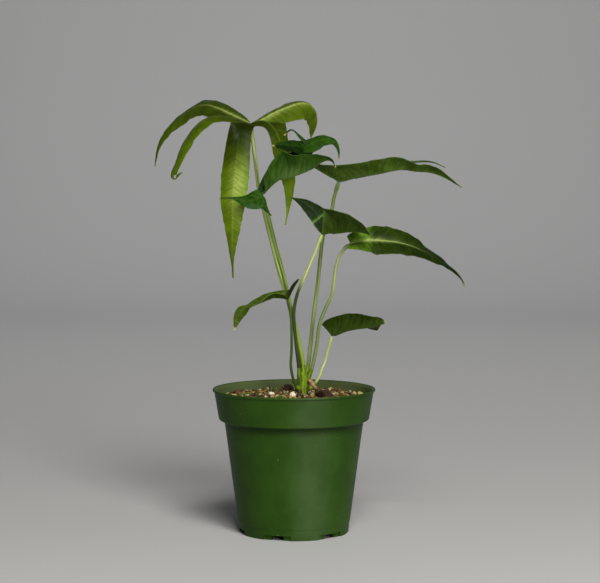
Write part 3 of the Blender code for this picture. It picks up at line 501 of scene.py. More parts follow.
def addLobe(sheet, lobe, layers, maps, spacing):
    half = len(lobe.columns) - 1
    rows = []
    for share in lobe.rowShares():
        distance = lobe.distance(share)
        margins = {side: lobe.margin(share, side) for side in ("left", "right")}
        rows.append((share, distance, lobe.route.at(distance), lobe.route.direction(distance),
                     margins))
    made = bmesh.ops.create_grid(sheet, x_segments=2 * half, y_segments=len(rows) - 1,
                                 size=1.0)["verts"]
    places = {}
    for corner in made:
        column = half - round((corner.co.x + 1) * half)
        row = round((corner.co.y + 1) / 2 * (len(rows) - 1))
        share, distance, rib, along, margins = rows[row]
        side, sign = ("left", 1) if column > 0 else ("right", -1)
        across = lobe.columns[abs(column)]
        margin = margins[side]
        reach = margin.length
        lateral = reach * across * sign
        normal = (along.cross(margin) * sign).normalized() if reach > 1e-4 else Vector()
        phases = lobe.phases[side]
        free = min(1.0, max(0.0, (share - lobe.split) * 8)) * min(1.0, reach / 5)
        rise = (reach * lobe.bow * 4 * across * (1 - across)
                + lobe.relief(distance, abs(lateral), spacing) * (1 - across**4)
                + waver(distance, phases, lobe.ripples) * free * across**2)
        fray = lobe.ragged * waver(distance, phases, lobe.frays)
        frayed = 1.0 + fray * free * across**3 / max(reach, 2.0)
        corner.co = rib + margin * across * frayed + normal * rise
        fused = share < lobe.split
        for name, value in lobe.paint(distance, side, across, lateral, fused).items():
            corner[layers[name]] = value
        places[corner] = ((lateral / 10, (distance + lobe.shift * spacing) / 10),
                          (across, share if distance < lobe.length else 1.0))
    for face in {face for corner in made for face in corner.link_faces}:
        for loop in face.loops:
            for layer, place in zip(maps, places[loop.vert]):
                loop[layer].uv = place


def makeBlade(letter, values):
    values = {**bladeForm, **values}
    draw = random.Random("blade " + letter)
    lobes = [Lobe(lobe, values, draw) for lobe in values["lobes"]]
    for first, second, (point, rung) in zip(lobes, lobes[1:], values["notches"]):
        first.notches["left"] = second.notches["right"] = (Vector(point), rung)
    sheet = bmesh.new()
    layers = {name: sheet.verts.layers.float.new(name)
              for name in ("rib", "under", "paintedShading", "seam", "pale", "glow")}
    number = sheet.verts.layers.int.new("number")
    maps = [sheet.loops.layers.uv.new(name) for name in ("veinMap", "bladeMap")]
    for lobe in lobes:
        addLobe(sheet, lobe, layers, maps, values["veins"])
    bmesh.ops.remove_doubles(sheet, verts=sheet.verts, dist=values["join"])
    seams = [corner for corner in sheet.verts
             if not corner.is_boundary and len(corner.link_edges) > 2
             and min(loop[maps[1]].uv.x for loop in corner.link_loops) > 0.6]
    for _ in range(values["softening"]):
        bmesh.ops.smooth_vert(sheet, verts=seams, factor=0.5,
                              use_axis_x=True, use_axis_y=True, use_axis_z=True)
    sheet.normal_update()
    before = []
    for index, corner in enumerate(sheet.verts):
        corner[number] = index
        before.append((corner.co.copy(), corner.normal.copy()))
    half = values["thickness"] / 2
    bmesh.ops.solidify(sheet, geom=sheet.faces[:], thickness=values["thickness"])
    for corner in sheet.verts:
        place, normal = before[corner[number]]
        if (corner.co - place).length > half:
            corner.co = place - normal * (half + corner[layers["rib"]])
            corner[layers["under"]] = 1.0
        else:
            corner.co = place + normal * half
    bmesh.ops.recalc_face_normals(sheet, faces=sheet.faces)
    material = leafMaterial("leaf" + letter.upper(), values)
    slot = "blade_" + letter
    finishPiece("leafBlade" + letter.upper(), sheet, material, [slot], values["sharp"])


# Pinnate veins, midrib, fine net and streaks from the blade's own map
def makeVeinGroup():
    group = bpy.data.node_groups.new("leafVeins", "ShaderNodeTree")
    for name, kind in (("Vein Map", "NodeSocketVector"), ("Spacing", "NodeSocketFloat")):
        group.interface.new_socket(name, in_out="INPUT", socket_type=kind)
    for name in ("Vein", "Midrib", "Net", "Streak"):
        group.interface.new_socket(name, in_out="OUTPUT", socket_type="NodeSocketFloat")
    entry = group.nodes.new("NodeGroupInput").outputs
    leave = group.nodes.new("NodeGroupOutput").inputs
    mixer = Mixer(group)
    parts = mixer.split(entry["Vein Map"])
    lateral = mixer.math("ABSOLUTE", parts[0])
    slanted = mixer.times(lateral, -lobeForm["veinSlope"])
    curved = mixer.times(mixer.times(lateral, lateral), 10 * lobeForm["veinCurve"])
    bent = mixer.plus(mixer.plus(parts[1], slanted), curved)
    phase = mixer.math("DIVIDE", bent, entry["Spacing"])
    nearest = mixer.math("ABSOLUTE", mixer.minus(phase, mixer.math("ROUND", phase)))
    away = mixer.times(nearest, entry["Spacing"])
    along, sideways = bladeForm["streakGrain"]
    grain = mixer.node("CombineXYZ", {0: mixer.times(bent, along),
                                      1: mixer.times(parts[0], sideways)})
    cells = mixer.node("TexVoronoi", {"Vector": mixer.node("TexCoord")["Object"],
                                      "Scale": bladeForm["netScale"]},
                       feature="DISTANCE_TO_EDGE")["Distance"]
    mixer.feed(leave["Vein"], mixer.ramp(away, *bladeForm["veinEdge"], 1.0, 0.0))
    mixer.feed(leave["Midrib"], mixer.ramp(lateral, *bladeForm["midribEdge"], 1.0, 0.0))
    mixer.feed(leave["Net"], mixer.ramp(cells, *bladeForm["netEdge"], 1.0, 0.0))
    mixer.feed(leave["Streak"], mixer.ramp(mixer.noise(grain[0], 1.0, 2.5), 0.34, 0.66))
    return group


veinGroup = makeVeinGroup()


def leafMaterial(name, values):
    leaf = Finish(name, values["light"], values["gloss"], values["shine"])
    across, share, _ = leaf.split(leaf.uvMap("bladeMap"))
    veins = leaf.node("Group", {"Vein Map": leaf.uvMap("veinMap"), "Spacing": values["veins"] / 10},
                      node_tree=veinGroup)
    under = leaf.layer("under")
    place = leaf.points()
    blotch = leaf.ramp(leaf.noise(place, *values["blotch"]), 0.3, 0.7)
    fine = leaf.noise(place, *values["fine"])
    upper = leaf.mix(blotch, values["deep"], values["light"])
    colour = leaf.tint(
        leaf.mix(under, upper, leaf.mix(blotch, values["underDeep"], values["under"])),
        (leaf.times(veins["Vein"], values["veinTint"]), values["vein"]),
        (leaf.times(veins["Net"], values["netTint"]), values["vein"]),
    )
    streaks = values["streaks"]
    mottle = leaf.ramp(veins["Streak"], 0.0, 1.0, 1.0 - streaks, 1.0 + streaks)
    # Painted light and shade along each lobe scale the colour, broken up by the streaks
    colour = leaf.mix(1.0, colour, leaf.times(leaf.layer("paintedShading"), mottle), "MULTIPLY")
    # Painted highlights and sheens, broken up by the streaks
    lit = leaf.times(leaf.layer("glow"), leaf.ramp(veins["Streak"], 0.0, 1.0, 0.45, 1.0))
    edge = leaf.times(leaf.ramp(across, *values["rim"]), values["edgeTint"])
    tip = leaf.times(leaf.ramp(share, *values["rim"]), values["tipTint"])
    colour = leaf.tint(
        colour,
        (lit, values.get("glow", values["vein"])),
        (leaf.layer("seam"), values["rib"]),
        (leaf.times(veins["Midrib"], leaf.layer("pale")), values["rib"]),
        (edge, values["rib"]),
        (tip, values["tip"]),
    )
    smooth, dull = (values["gloss"] + change for change in values["glossSpread"])
    relief = leaf.minus(leaf.times(fine, 0.4), leaf.times(veins["Net"], 0.5))
    rough = leaf.plus(leaf.ramp(fine, 0.3, 0.7, smooth, dull), leaf.times(under, 0.06))
    return leaf.finish(colour, rough, leaf.minus(relief, veins["Vein"]), values["bump"], 0.8)


for letter, values in blades.items():
    makeBlade(letter, values)
print("blades made")


# Stalks, crown and roots

stalkValues = {
    "a": {
        "light": (0.32, 0.39, 0.12), "deep": (0.09, 0.14, 0.02), "dark": (0.42, 0.54, 0.08),
        "shade": (3, 9.5), "shadeTint": 0.7, "radius": 1.35, "sheath": 13,
        "route": ((4.5, 0.5, 95.5), (4.5, 1.6, 101.5), (4, 3, 109.5), (2.5, 4, 120.5),
            (0, 5, 133.5), (-3, 6, 146.5), (-9.5, 7, 168), (-14, 7, 185.5), (-18, 7, 201.5),
            (-22.5, 6, 221), (-24.5, 5, 237), (-26.5, 3.5, 253), (-28, 2, 263)),
    },
    "b": {
        "light": (0.21, 0.28, 0.06), "deep": (0.05, 0.09, 0.01), "dark": (0.24, 0.35, 0.03),
        "shade": (3, 8.5), "shadeTint": 0.65, "radius": 1.35, "sheath": 13, "route": ((6, -0.6, 96),
            (6.2, -1.2, 102), (5.8, -1.8, 110), (3.7, -2.6, 121), (0.8, -3.5, 134), (-2.5, -5, 147),
            (-7, -9, 168), (-12, -12, 187), (-16.5, -15.5, 205), (-20.2, -19.8, 217.8)),
    },
    "c": {
        "light": (0.25, 0.3, 0.1), "deep": (0.11, 0.155, 0.035), "dark": (0.06, 0.1, 0.02),
        "shade": (14, 9), "shadeTint": 0.55, "radius": 1.3, "sheath": 13.5,
        "route": ((7, 1.6, 95.5), (8.4, 2.8, 101.5), (9.2, 4, 107.5), (11, 6, 123.5),
            (13, 9, 141.5), (15.5, 11, 160.5), (18.5, 13, 188.5), (21.5, 13, 198.5),
            (24.5, 13, 207.5), (26, 12, 216), (29, 10, 226)),
    },
    "d": {
        "light": (0.55, 0.6, 0.24), "deep": (0.28, 0.35, 0.1), "dark": (0.018, 0.034, 0.005),
        "shade": (6, 7.4), "shadeTint": 0.96, "radius": 1.1, "sheath": 12,
        "route": ((3.8, -1.4, 96), (3.4, -3.6, 102), (3, -5.2, 108), (1.8, -6.8, 118.5),
            (0.5, -8, 131.5), (0, -9, 143), (2, -9.5, 154), (5.5, -10, 163), (11.5, -11, 176.5),
            (14.5, -12, 184), (18, -13, 193)),
    },
    "e": {
        "light": (0.42, 0.47, 0.19), "deep": (0.22, 0.27, 0.08), "dark": (0.09, 0.14, 0.035),
        "shade": (5, 7.2), "shadeTint": 0.75, "radius": 1.15, "sheath": 12.5,
        "route": ((7, -0.6, 94.5), (9.6, -2, 100.5), (11.6, -3, 106), (14.5, -3, 120.5),
            (16.5, -3, 135), (21, -3, 146.5), (24.5, -4, 155), (26.5, -6, 170), (29, -8, 178.5),
            (32.5, -10.5, 184), (36, -12, 186.5)),
    },
    "f": {
        "light": (0.5, 0.56, 0.24), "deep": (0.3, 0.38, 0.1), "dark": (0.07, 0.12, 0.02),
        "shade": (0, 2), "shadeTint": 0.4, "radius": 0.95, "sheath": 10, "route": ((6.8, 1.6, 91),
            (11, 4, 93), (16, 6, 99), (17.8, 7, 104), (20, 8, 109), (21.5, 8, 115.5),
            (24.5, 8, 126)),
    },
    "g": {
        "light": (0.07, 0.11, 0.012), "deep": (0.028, 0.055, 0.005), "dark": (0.03, 0.05, 0.008),
        "shade": (0, 3), "shadeTint": 0.4, "radius": 0.9, "sheath": 7, "route": ((4.2, -2.2, 92),
            (2, -6, 94.5), (0, -8.2, 98.5), (-1.2, -9.6, 103.5), (-2, -10.8, 109.5),
            (-1.5, -12, 118), (-1.5, -13.2, 132), (-2, -14, 140.5), (-4, -16, 151.5)),
    },
}
stalkForm = {
    "sides": 20, "ringStep": 1.4, "gap": 0.15, "joint": 0.3, "jointLength": 7.0,
    "jointSwell": 0.28, "neck": (0.6, 0.75), "taper": (1.0, 1.0, 0.96, 0.93, 0.9, 0.88),
    "stretch": (9, 0.35, 1), "fleck": (900, 2), "fleckTint": 0.35,
}


def addTube(mesh, route, start, end, radiusAt, sides, spacing, layer=None):
    count = max(3, round((end - start) / spacing))
    rings = []
    side = Vector((1.0, 0.0, 0.0))
    for index in range(count + 1):
        share = index / count
        distance = start + (end - start) * share
        along = route.direction(distance)
        side = (side - along * side.dot(along)).normalized()
        place = Matrix((side, along.cross(side), along)).transposed().to_4x4()
        place.translation = route.at(distance)
        ring = bmesh.ops.create_circle(mesh, cap_ends=index in (0, count), segments=sides,
                                       radius=radiusAt(share, distance), matrix=place)["verts"]
        rings.append((ring, distance / 10))
        if index == 0:
            continue
        before, reach = rings[-2]
        for number in range(sides):
            after = (number + 1) % sides
            face = mesh.faces.new((before[number], before[after], ring[after], ring[number]))
            places = ((number, reach), (number + 1, reach), (number + 1, distance / 10),
                      (number, distance / 10))
            for loop, (turn, up) in zip(face.loops, () if layer is None else places):
                loop[layer].uv = (turn / sides, up)
    bmesh.ops.recalc_face_normals(mesh, faces=mesh.faces)


def stemMaterial(name, values):
    stem = Finish(name, values["light"], 0.42, 0.2)
    stemMap = stem.uvMap("stemMap")
    streaks = stem.node("Mapping", {"Vector": stemMap, "Scale": stalkForm["stretch"]})[0]
    streak = stem.ramp(stem.noise(streaks, 1.0), 0.38, 0.62)
    low, high = values["shade"]
    fleck = stem.ramp(stem.noise(stem.points(), *stalkForm["fleck"]), 0.62, 0.72)
    colour = stem.tint(
        stem.mix(streak, values["deep"], values["light"]),
        (stem.ramp(stem.split(stemMap)[1], low, high, values["shadeTint"], 0.0), values["dark"]),
        (stem.times(fleck, stalkForm["fleckTint"]), values["dark"]),
    )
    return stem.finish(colour, stem.ramp(streak, 0.0, 1.0, 0.34, 0.48), streak, 0.00015, 0.6)


def makeStalk(letter, values):
    route = Route(values["route"])
    end = route.length - stalkForm["gap"]
    neckLength, neckShare = stalkForm["neck"]

    def radiusAt(share, distance):
        left = (end - distance) / stalkForm["jointLength"]
        swell = sin(pi * left) ** 2 if 0.0 < left < 1.0 else 0.0
        narrow = neckShare if distance > end - neckLength else 1.0
        return (values["radius"] * blend(stalkForm["taper"], share)
                * (1 + stalkForm["jointSwell"] * swell) * narrow)

    shape = bmesh.new()
    layer = shape.loops.layers.uv.new("stemMap")
    addTube(shape, route, values["sheath"] - stalkForm["joint"], end, radiusAt,
            stalkForm["sides"], stalkForm["ringStep"], layer)
    slot = "stalk_" + letter
    material = stemMaterial("stalk" + letter.upper(), values)
    finishPiece("leafStalk" + letter.upper(), shape, material, [slot])


for letter, values in stalkValues.items():
    makeStalk(letter, values)

crownValues = {
    "axis": ((4.8, 0, 80), (4.8, 0, 88), (5, 0.2, 95), (5.2, 0.4, 101)),
    "radii": (2.8, 3.3, 3.7, 2.8), "swell": (1.7, 1.6, 1.4, 1.12, 0.98), "grain": 0.42,
    "light": (0.20, 0.30, 0.014), "deep": (0.07, 0.12, 0.006), "scar": (0.15, 0.08, 0.03),
    "scarHeights": (0.0885, 0.0945), "coreRings": (20, 1.5), "sheathRings": (16, 1.2),
}


def crownMaterial():
    crown = Finish("crownGreen", crownValues["light"], 0.4, 0.15)
    place = crown.points()
    streak = crown.ramp(crown.noise(crown.points((1.0, 1.0, 0.16)), 620.0), 0.38, 0.64)
    base = crown.ramp(crown.split(place)[2], *crownValues["scarHeights"], 1.0, 0.0)
    scar = crown.times(base, crown.ramp(crown.noise(place, 330.0), 0.42, 0.6))
    colour = crown.mix(streak, crownValues["deep"], crownValues["light"])
    return crown.finish(crown.mix(scar, colour, crownValues["scar"]),
                        crown.ramp(scar, 0.0, 1.0, 0.36, 0.75), streak, 0.0002, 0.7)


# A core and the sheaths of all stalks, grown together
def makeCrown():
    shape = bmesh.new()
    core = Route(crownValues["axis"])
    addTube(shape, core, 0.0, core.length, lambda share, _: blend(crownValues["radii"], share),
            *crownValues["coreRings"])
    for values in stalkValues.values():
        addTube(shape, Route(values["route"]), 0.0, values["sheath"],
                lambda share, _: values["radius"] * blend(crownValues["swell"], share),
                *crownValues["sheathRings"])
    crown = finishPiece("plantCrown", shape, crownMaterial(), ["crown"])
    join = crown.modifiers.new("join", "REMESH")
    join.mode = "VOXEL"
    join.voxel_size = crownValues["grain"] * mm
    soften = crown.modifiers.new("soften", "SMOOTH")
    soften.factor = 0.5
    soften.iterations = 3
    settle(crown)


makeCrown()

rootValues = {
    "root_right": {
        "piece": "aerialRootRight", "light": (0.50, 0.28, 0.14), "deep": (0.20, 0.09, 0.04),
        "radii": (1.4, 1.3, 1.2, 1.05, 0.8),
        "route": ((9.7, -5, 99.4), (11.4, -5.6, 97.3), (13.4, -6, 94.6), (15, -6, 91.4),
            (16, -5.8, 86.5)),
    },
    "root_front": {
        "piece": "aerialRootFront", "light": (0.42, 0.20, 0.11), "deep": (0.18, 0.07, 0.035),
        "radii": (1.5, 1.3, 1.1, 0.9),
        "route": ((3.8, -5.8, 91.6), (3.4, -7.6, 90.4), (3.4, -9, 87.5), (3.8, -9.8, 83)),
    },
}
rootForm = {
    "sides": 16, "ringStep": 0.6, "blunt": 0.8, "knots": ((0.08, 1 / 1.9), (0.05, 1 / 4.3)),
    "darkBase": (0.022, 0.016, 0.007), "darkBaseHeights": (0.0925, 0.0955),
}


def rootMaterial(values):
    root = Finish(values["piece"], values["light"], 0.6, 0.3)
    place = root.points()
    patch = root.ramp(root.noise(place, 420.0, 4.0), 0.35, 0.65)
    # Darker toward the bottom of the root
    darkBase = root.ramp(root.split(place)[2], *rootForm["darkBaseHeights"], 0.95, 0.0)
    colour = root.mix(darkBase, root.mix(patch, values["deep"], values["light"]), rootForm["darkBase"])
    return root.finish(colour, root.ramp(patch, 0.0, 1.0, 0.55, 0.8),
                       root.noise(place, 1500.0), 0.0003, 0.8)


def makeRoot(name, values):
    route = Route(values["route"])
    phases = (random.Random(name).uniform(0.0, tau), 0.0)

    def radiusAt(share, distance):
        knot = 1.0 + waver(distance, phases, rootForm["knots"])
        return blend(values["radii"], share) * knot * (0.6 if share in (0.0, 1.0) else 1.0)

    shape = bmesh.new()
    addTube(shape, route, 0.0, route.length - rootForm["blunt"], radiusAt, rootForm["sides"],
            rootForm["ringStep"])
    finishPiece(values["piece"], shape, rootMaterial(values), [name])


for name, values in rootValues.items():
    makeRoot(name, values)
print("stems made")


# Pot: a moulded green plastic nursery pot

potValues = {
    "height": 93, "wall": 1.2, "baseRadius": 35, "bodyTopRadius": 44.8, "bandHeight": 20,
    "bandBaseRadius": 48.5, "bandTopRadius": 51.5, "lipRadius": 52.5, "lipHeight": 1.6,
    "stepHeights": (1.5, 3), "footHeight": 7.3, "footStep": 0.35, "ringRadius": 31,
    "padRadius": 22, "floorRaise": 1.6, "segments": 144, "rounding": 0.45, "clearance": 0.3,
    "notches": 6, "firstAngle": -108, "notchSize": (10, 18, 3.2), "notchDepth": 1.8,
    "drainSize": (9, 8, 3), "overrun": 2, "sharp": 35,
    "light": (0.0255, 0.069, 0.0055), "deep": (0.0185, 0.052, 0.004), "dust": (0.17, 0.21, 0.10),
    # A pale painted sheen runs down the front of the pot
    "paintedSheen": (0.10, 0.135, 0.07), "paintedSheenCentre": 0.0115, "inside": (0.12, 0.14, 0.06),
    # A dark painted shadow lies just under the rim band
    "bandShadow": (0.004625, 0.013, 0.001), "slope": 0.163, "paintedSheenWidth": (0.002, 0.020),
    "paintedSheenDepth": (-0.036, -0.02), "bandShadowRise": (0.066, 0.0725), "bandShadowEnd": (0.0728, 0.0735),
    "insideReach": (0.0357, 0.0363), "insideHeight": (0.080, 0.083),
}


def bodyRadius(height):
    top = potValues["height"] - potValues["bandHeight"]
    return blend((potValues["baseRadius"], potValues["bodyTopRadius"]), height / top)


def innerProfile(inset):
    bandBase = potValues["height"] - potValues["bandHeight"]
    wall = potValues["wall"] + inset
    floor = potValues["floorRaise"] + wall
    low, high = potValues["stepHeights"]
    return [
        (0.0, wall),
        (potValues["padRadius"] - wall, wall),
        (potValues["padRadius"] + 1.0 - inset, floor),
        (bodyRadius(floor) - wall, floor),
        (bodyRadius(bandBase) - wall, bandBase + low + inset),
        (potValues["bandBaseRadius"] - wall, bandBase + high + inset),
    ]


# Rounds each corner of a profile with a short curve
def roundProfile(points, rounding, steps=4):
    rounded = [points[0]]
    for before, corner, after in zip(points, points[1:], points[2:]):
        spot = Vector(corner)
        back = Vector(before) - spot
        forth = Vector(after) - spot
        reach = min(rounding, back.length * 0.45, forth.length * 0.45)
        first = spot + back.normalized() * reach
        last = spot + forth.normalized() * reach
        for step in range(steps + 1):
            share = step / steps
            rounded.append(tuple(first.lerp(spot, share).lerp(spot.lerp(last, share), share)))
    rounded.append(points[-1])
    return rounded


def addLine(shape, points):
    corners = [shape.verts.new(point) for point in points]
    return corners, [shape.edges.new(pair) for pair in zip(corners, corners[1:])]


def lathe(profile, segments):
    shape = bmesh.new()
    corners, edges = addLine(shape, [(radius, 0.0, height) for radius, height in profile])
    bmesh.ops.spin(shape, geom=corners + edges, cent=(0, 0, 0), axis=(0, 0, 1),
                   angle=tau, steps=segments, use_merge=True)
    bmesh.ops.remove_doubles(shape, verts=shape.verts, dist=0.001)
    bmesh.ops.recalc_face_normals(shape, faces=shape.faces)
    return shape


def potMaterial():
    pot = Finish("potPlastic", potValues["light"], 0.5, 0.1)
    place = pot.points()
    x, y, height = pot.split(place)
    cloud = pot.ramp(pot.noise(place, 42.0, 5.0, 0.6), 0.35, 0.68)
    streak = pot.ramp(pot.noise(pot.points((1.0, 1.0, 0.12)), 260.0), 0.5, 0.75)
    specks = pot.node("TexVoronoi", {"Vector": place, "Scale": 210.0})
    chosen = pot.node("SeparateColor", {0: specks["Color"]})[0]
    dust = pot.math("MAXIMUM",
                    pot.times(pot.ramp(specks["Distance"], 0.045, 0.085, 1.0, 0.0),
                              pot.ramp(chosen, 0.8, 0.86)),
                    pot.ramp(pot.noise(place, 900.0, 4.0), 0.55, 0.8, 0.0, 0.06))
    # Painted sheen: a pale patch down the front of the pot
    aside = pot.math("ABSOLUTE", pot.minus(x, potValues["paintedSheenCentre"]))
    front = pot.times(pot.ramp(aside, *potValues["paintedSheenWidth"], 0.25, 0.0),
                      pot.ramp(y, *potValues["paintedSheenDepth"], 1.0, 0.0))
    # Painted shadow just under the rim band
    bandShadow = pot.times(pot.ramp(height, *potValues["bandShadowRise"], 0.0, 0.6),
                       pot.ramp(height, *potValues["bandShadowEnd"], 1.0, 0.0))
    reach = pot.math("SQRT", pot.plus(pot.times(x, x), pot.times(y, y)))
    wide = pot.minus(reach, pot.times(height, potValues["slope"]))
    inside = pot.times(pot.ramp(wide, *potValues["insideReach"], 0.6, 0.0),
                       pot.ramp(height, *potValues["insideHeight"]))
    colour = pot.tint(
        pot.mix(cloud, potValues["deep"], potValues["light"]),
        (pot.times(streak, 0.25), potValues["light"]),
        (dust, potValues["dust"]),
        (pot.times(front, pot.ramp(cloud, 0.0, 1.0, 0.75, 1.1)), potValues["paintedSheen"]),
        (bandShadow, potValues["bandShadow"]),
        (inside, potValues["inside"]),
    )
    grain = pot.noise(place, 700.0)
    rough = pot.plus(pot.ramp(grain, 0.3, 0.7, 0.42, 0.54), pot.times(dust, 0.3))
    return pot.finish(colour, rough, pot.plus(grain, pot.times(dust, 2.0)), 0.00006, 0.6)


def makePot():
    values = potValues
    height, wall = values["height"], values["wall"]
    base, bodyTop, ring = values["baseRadius"], values["bodyTopRadius"], values["ringRadius"]
    bandRadius, lipRadius = values["bandBaseRadius"], values["lipRadius"]
    pad, raised = values["padRadius"], values["floorRaise"]
    bandBase = height - values["bandHeight"]
    lipBase = height - values["lipHeight"]
    foot = values["footHeight"]
    inner = innerProfile(0.0) + [(values["bandTopRadius"] - wall, lipBase),
                                 (lipRadius - wall, height)]
    outer = [
        (lipRadius, height), (lipRadius, lipBase + 0.3), (values["bandTopRadius"], lipBase),
        (bandRadius, bandBase + 0.6), (bandRadius - 0.9, bandBase), (bodyTop + 0.9, bandBase),
        (bodyTop, bandBase - 1.5), (bodyRadius(foot) + values["footStep"], foot),
        (bodyRadius(foot), foot - 0.6), (base + 0.2, 0.0), (ring, 0.0), (ring, raised),
        (pad + 1.0, raised), (pad, 0.0), (0.0, 0.0),
    ]
    shape = lathe(roundProfile(inner + outer, values["rounding"]), values["segments"])
    pot = finishPiece("nurseryPot", shape, potMaterial(), ["pot"], values["sharp"])
    cutter = bmesh.new()
    notch, drain = values["notchSize"], values["drainSize"]
    for number in range(values["notches"]):
        angle = values["firstAngle"] + number * 360 / values["notches"]
        turn = Matrix.Rotation(radians(angle), 4, "Z")
        for (length, width, tall), radius in (
            (notch, base - values["notchDepth"] + notch[0] / 2),
            (drain, base + 1.0 - drain[0] / 2),
        ):
            place = Matrix.Translation((radius, 0.0, (tall - values["overrun"]) / 2))
            grow = Matrix.Diagonal((length, width, tall + values["overrun"], 1.0))
            bmesh.ops.create_cube(cutter, size=1.0, matrix=turn @ place @ grow)
    tool = makeObject("drainTool", cutter)
    cut = pot.modifiers.new("drains", "BOOLEAN")
    cut.operation = "DIFFERENCE"
    cut.solver = "EXACT"
    cut.use_self = True
    cut.object = tool
    settle(pot, values["sharp"])
    bpy.data.objects.remove(tool, do_unlink=True)


makePot()
print("pot made")


# Potting mix: a lumpy bed with bark, pumice, perlite, crumbs and moss on it

mixValues = {
    "level": 87.3, "edgeDrop": 1.3, "rings": 56, "segments": 128, "topRadius": 49,
    "crown": (4.8, 0), "mound": (15, 2.2), "lumps": ((0.09, 1.1), (0.23, 0.9), (0.6, 0.45)),
    "deep": (0.012, 0.008, 0.004), "light": (0.055, 0.034, 0.014), "grit": (0.75, 0.7, 0.6),
}


def mixHeight(x, y):
    spot = Vector((x, y, 3.0))
    lumps = sum(noise.noise(spot * fine) * rise for fine, rise in mixValues["lumps"])
    crownX, crownY = mixValues["crown"]
    spread, rise = mixValues["mound"]
    near = hypot(x - crownX, y - crownY) / spread
    drop = mixValues["edgeDrop"] * (hypot(x, y) / mixValues["topRadius"]) ** 6
    return mixValues["level"] + rise * max(0.0, 1.0 - near**2) + lumps - drop


def earthMaterial(name, values, scale, roughness=0.85, depth=0.0004, sparkle=0.0):
    earth = Finish(name, values["light"], roughness, 0.25)
    place = earth.points()
    patch = earth.ramp(earth.noise(place, scale, 5.0, 0.65), 0.34, 0.68)
    darkest = tuple(part * 0.3 for part in values["deep"])
    single = earth.mix(earth.layer("tint"), darkest, values["light"])
    colour = earth.mix(0.7, earth.mix(patch, values["deep"], values["light"]), single)
    if sparkle:
        grit = earth.ramp(earth.noise(place, 2600.0, 2.0), 0.6, 0.75, 0.0, sparkle)
        colour = earth.mix(grit, colour, mixValues["grit"])
    rough = earth.ramp(patch, 0.0, 1.0, roughness - 0.1, min(1.0, roughness + 0.08))
    return earth.finish(colour, rough, earth.noise(place, scale * 3.2, 4.0), depth, 0.8)


def makeBed():
    radius, level, rings = (mixValues[name] for name in ("topRadius", "level", "rings"))
    profile = innerProfile(potValues["clearance"]) + [(radius, level - 2.0)]
    profile += [(radius * (1.0 - ring / rings), level) for ring in range(rings + 1)]
    shape = lathe(profile, mixValues["segments"])
    for corner in shape.verts:
        if corner.co.z > level - 0.5:
            corner.co.z = mixHeight(corner.co.x, corner.co.y)
    material = earthMaterial("soilBrown", mixValues, 260.0, depth=0.0006, sparkle=0.35)
    finishPiece("soilBed", shape, material, ["potting_mix"], 60.0)


makeBed()


lumpForm = {
    "tilt": 0.28, "cuts": (0.45, 0.8), "grain": 2.6, "inset": 0.4, "rise": 0.3, "markedRise": 0.22,
    "rootGap": 0.55, "sharp": 32.0,
}


# One lump: a ball cut by planes into facets, roughened, turned and set in place
def addLump(mesh, layer, centre, size, draw, values, detail, tint=None):
    turn = (Matrix.Rotation(draw.uniform(0, tau), 4, "Z")
            @ Matrix.Rotation(draw.gauss(0, lumpForm["tilt"]), 4, "X")
            @ Matrix.Rotation(draw.gauss(0, lumpForm["tilt"]), 4, "Y"))
    planes = []
    for _ in range(values["facets"]):
        normal = Vector([draw.gauss(0, 1) for _ in range(3)]).normalized()
        planes.append((normal, draw.uniform(*lumpForm["cuts"])))
    shade = draw.random() if tint is None else tint
    seed = Vector([draw.uniform(0, 50) for _ in range(3)])
    grow = Matrix.Diagonal((*(length / 2 for length in size), 1.0))
    place = Matrix.Translation(centre) @ turn @ grow
    for corner in bmesh.ops.create_icosphere(mesh, subdivisions=detail, radius=1.0)["verts"]:
        spot = corner.co.copy()
        for normal, limit in planes:
            spot -= normal * max(0.0, spot.dot(normal) - limit)
        spot *= 1.0 + values["rough"] * noise.noise(spot * lumpForm["grain"] + seed) * 2
        corner.co = place @ spot
        corner[layer] = shade


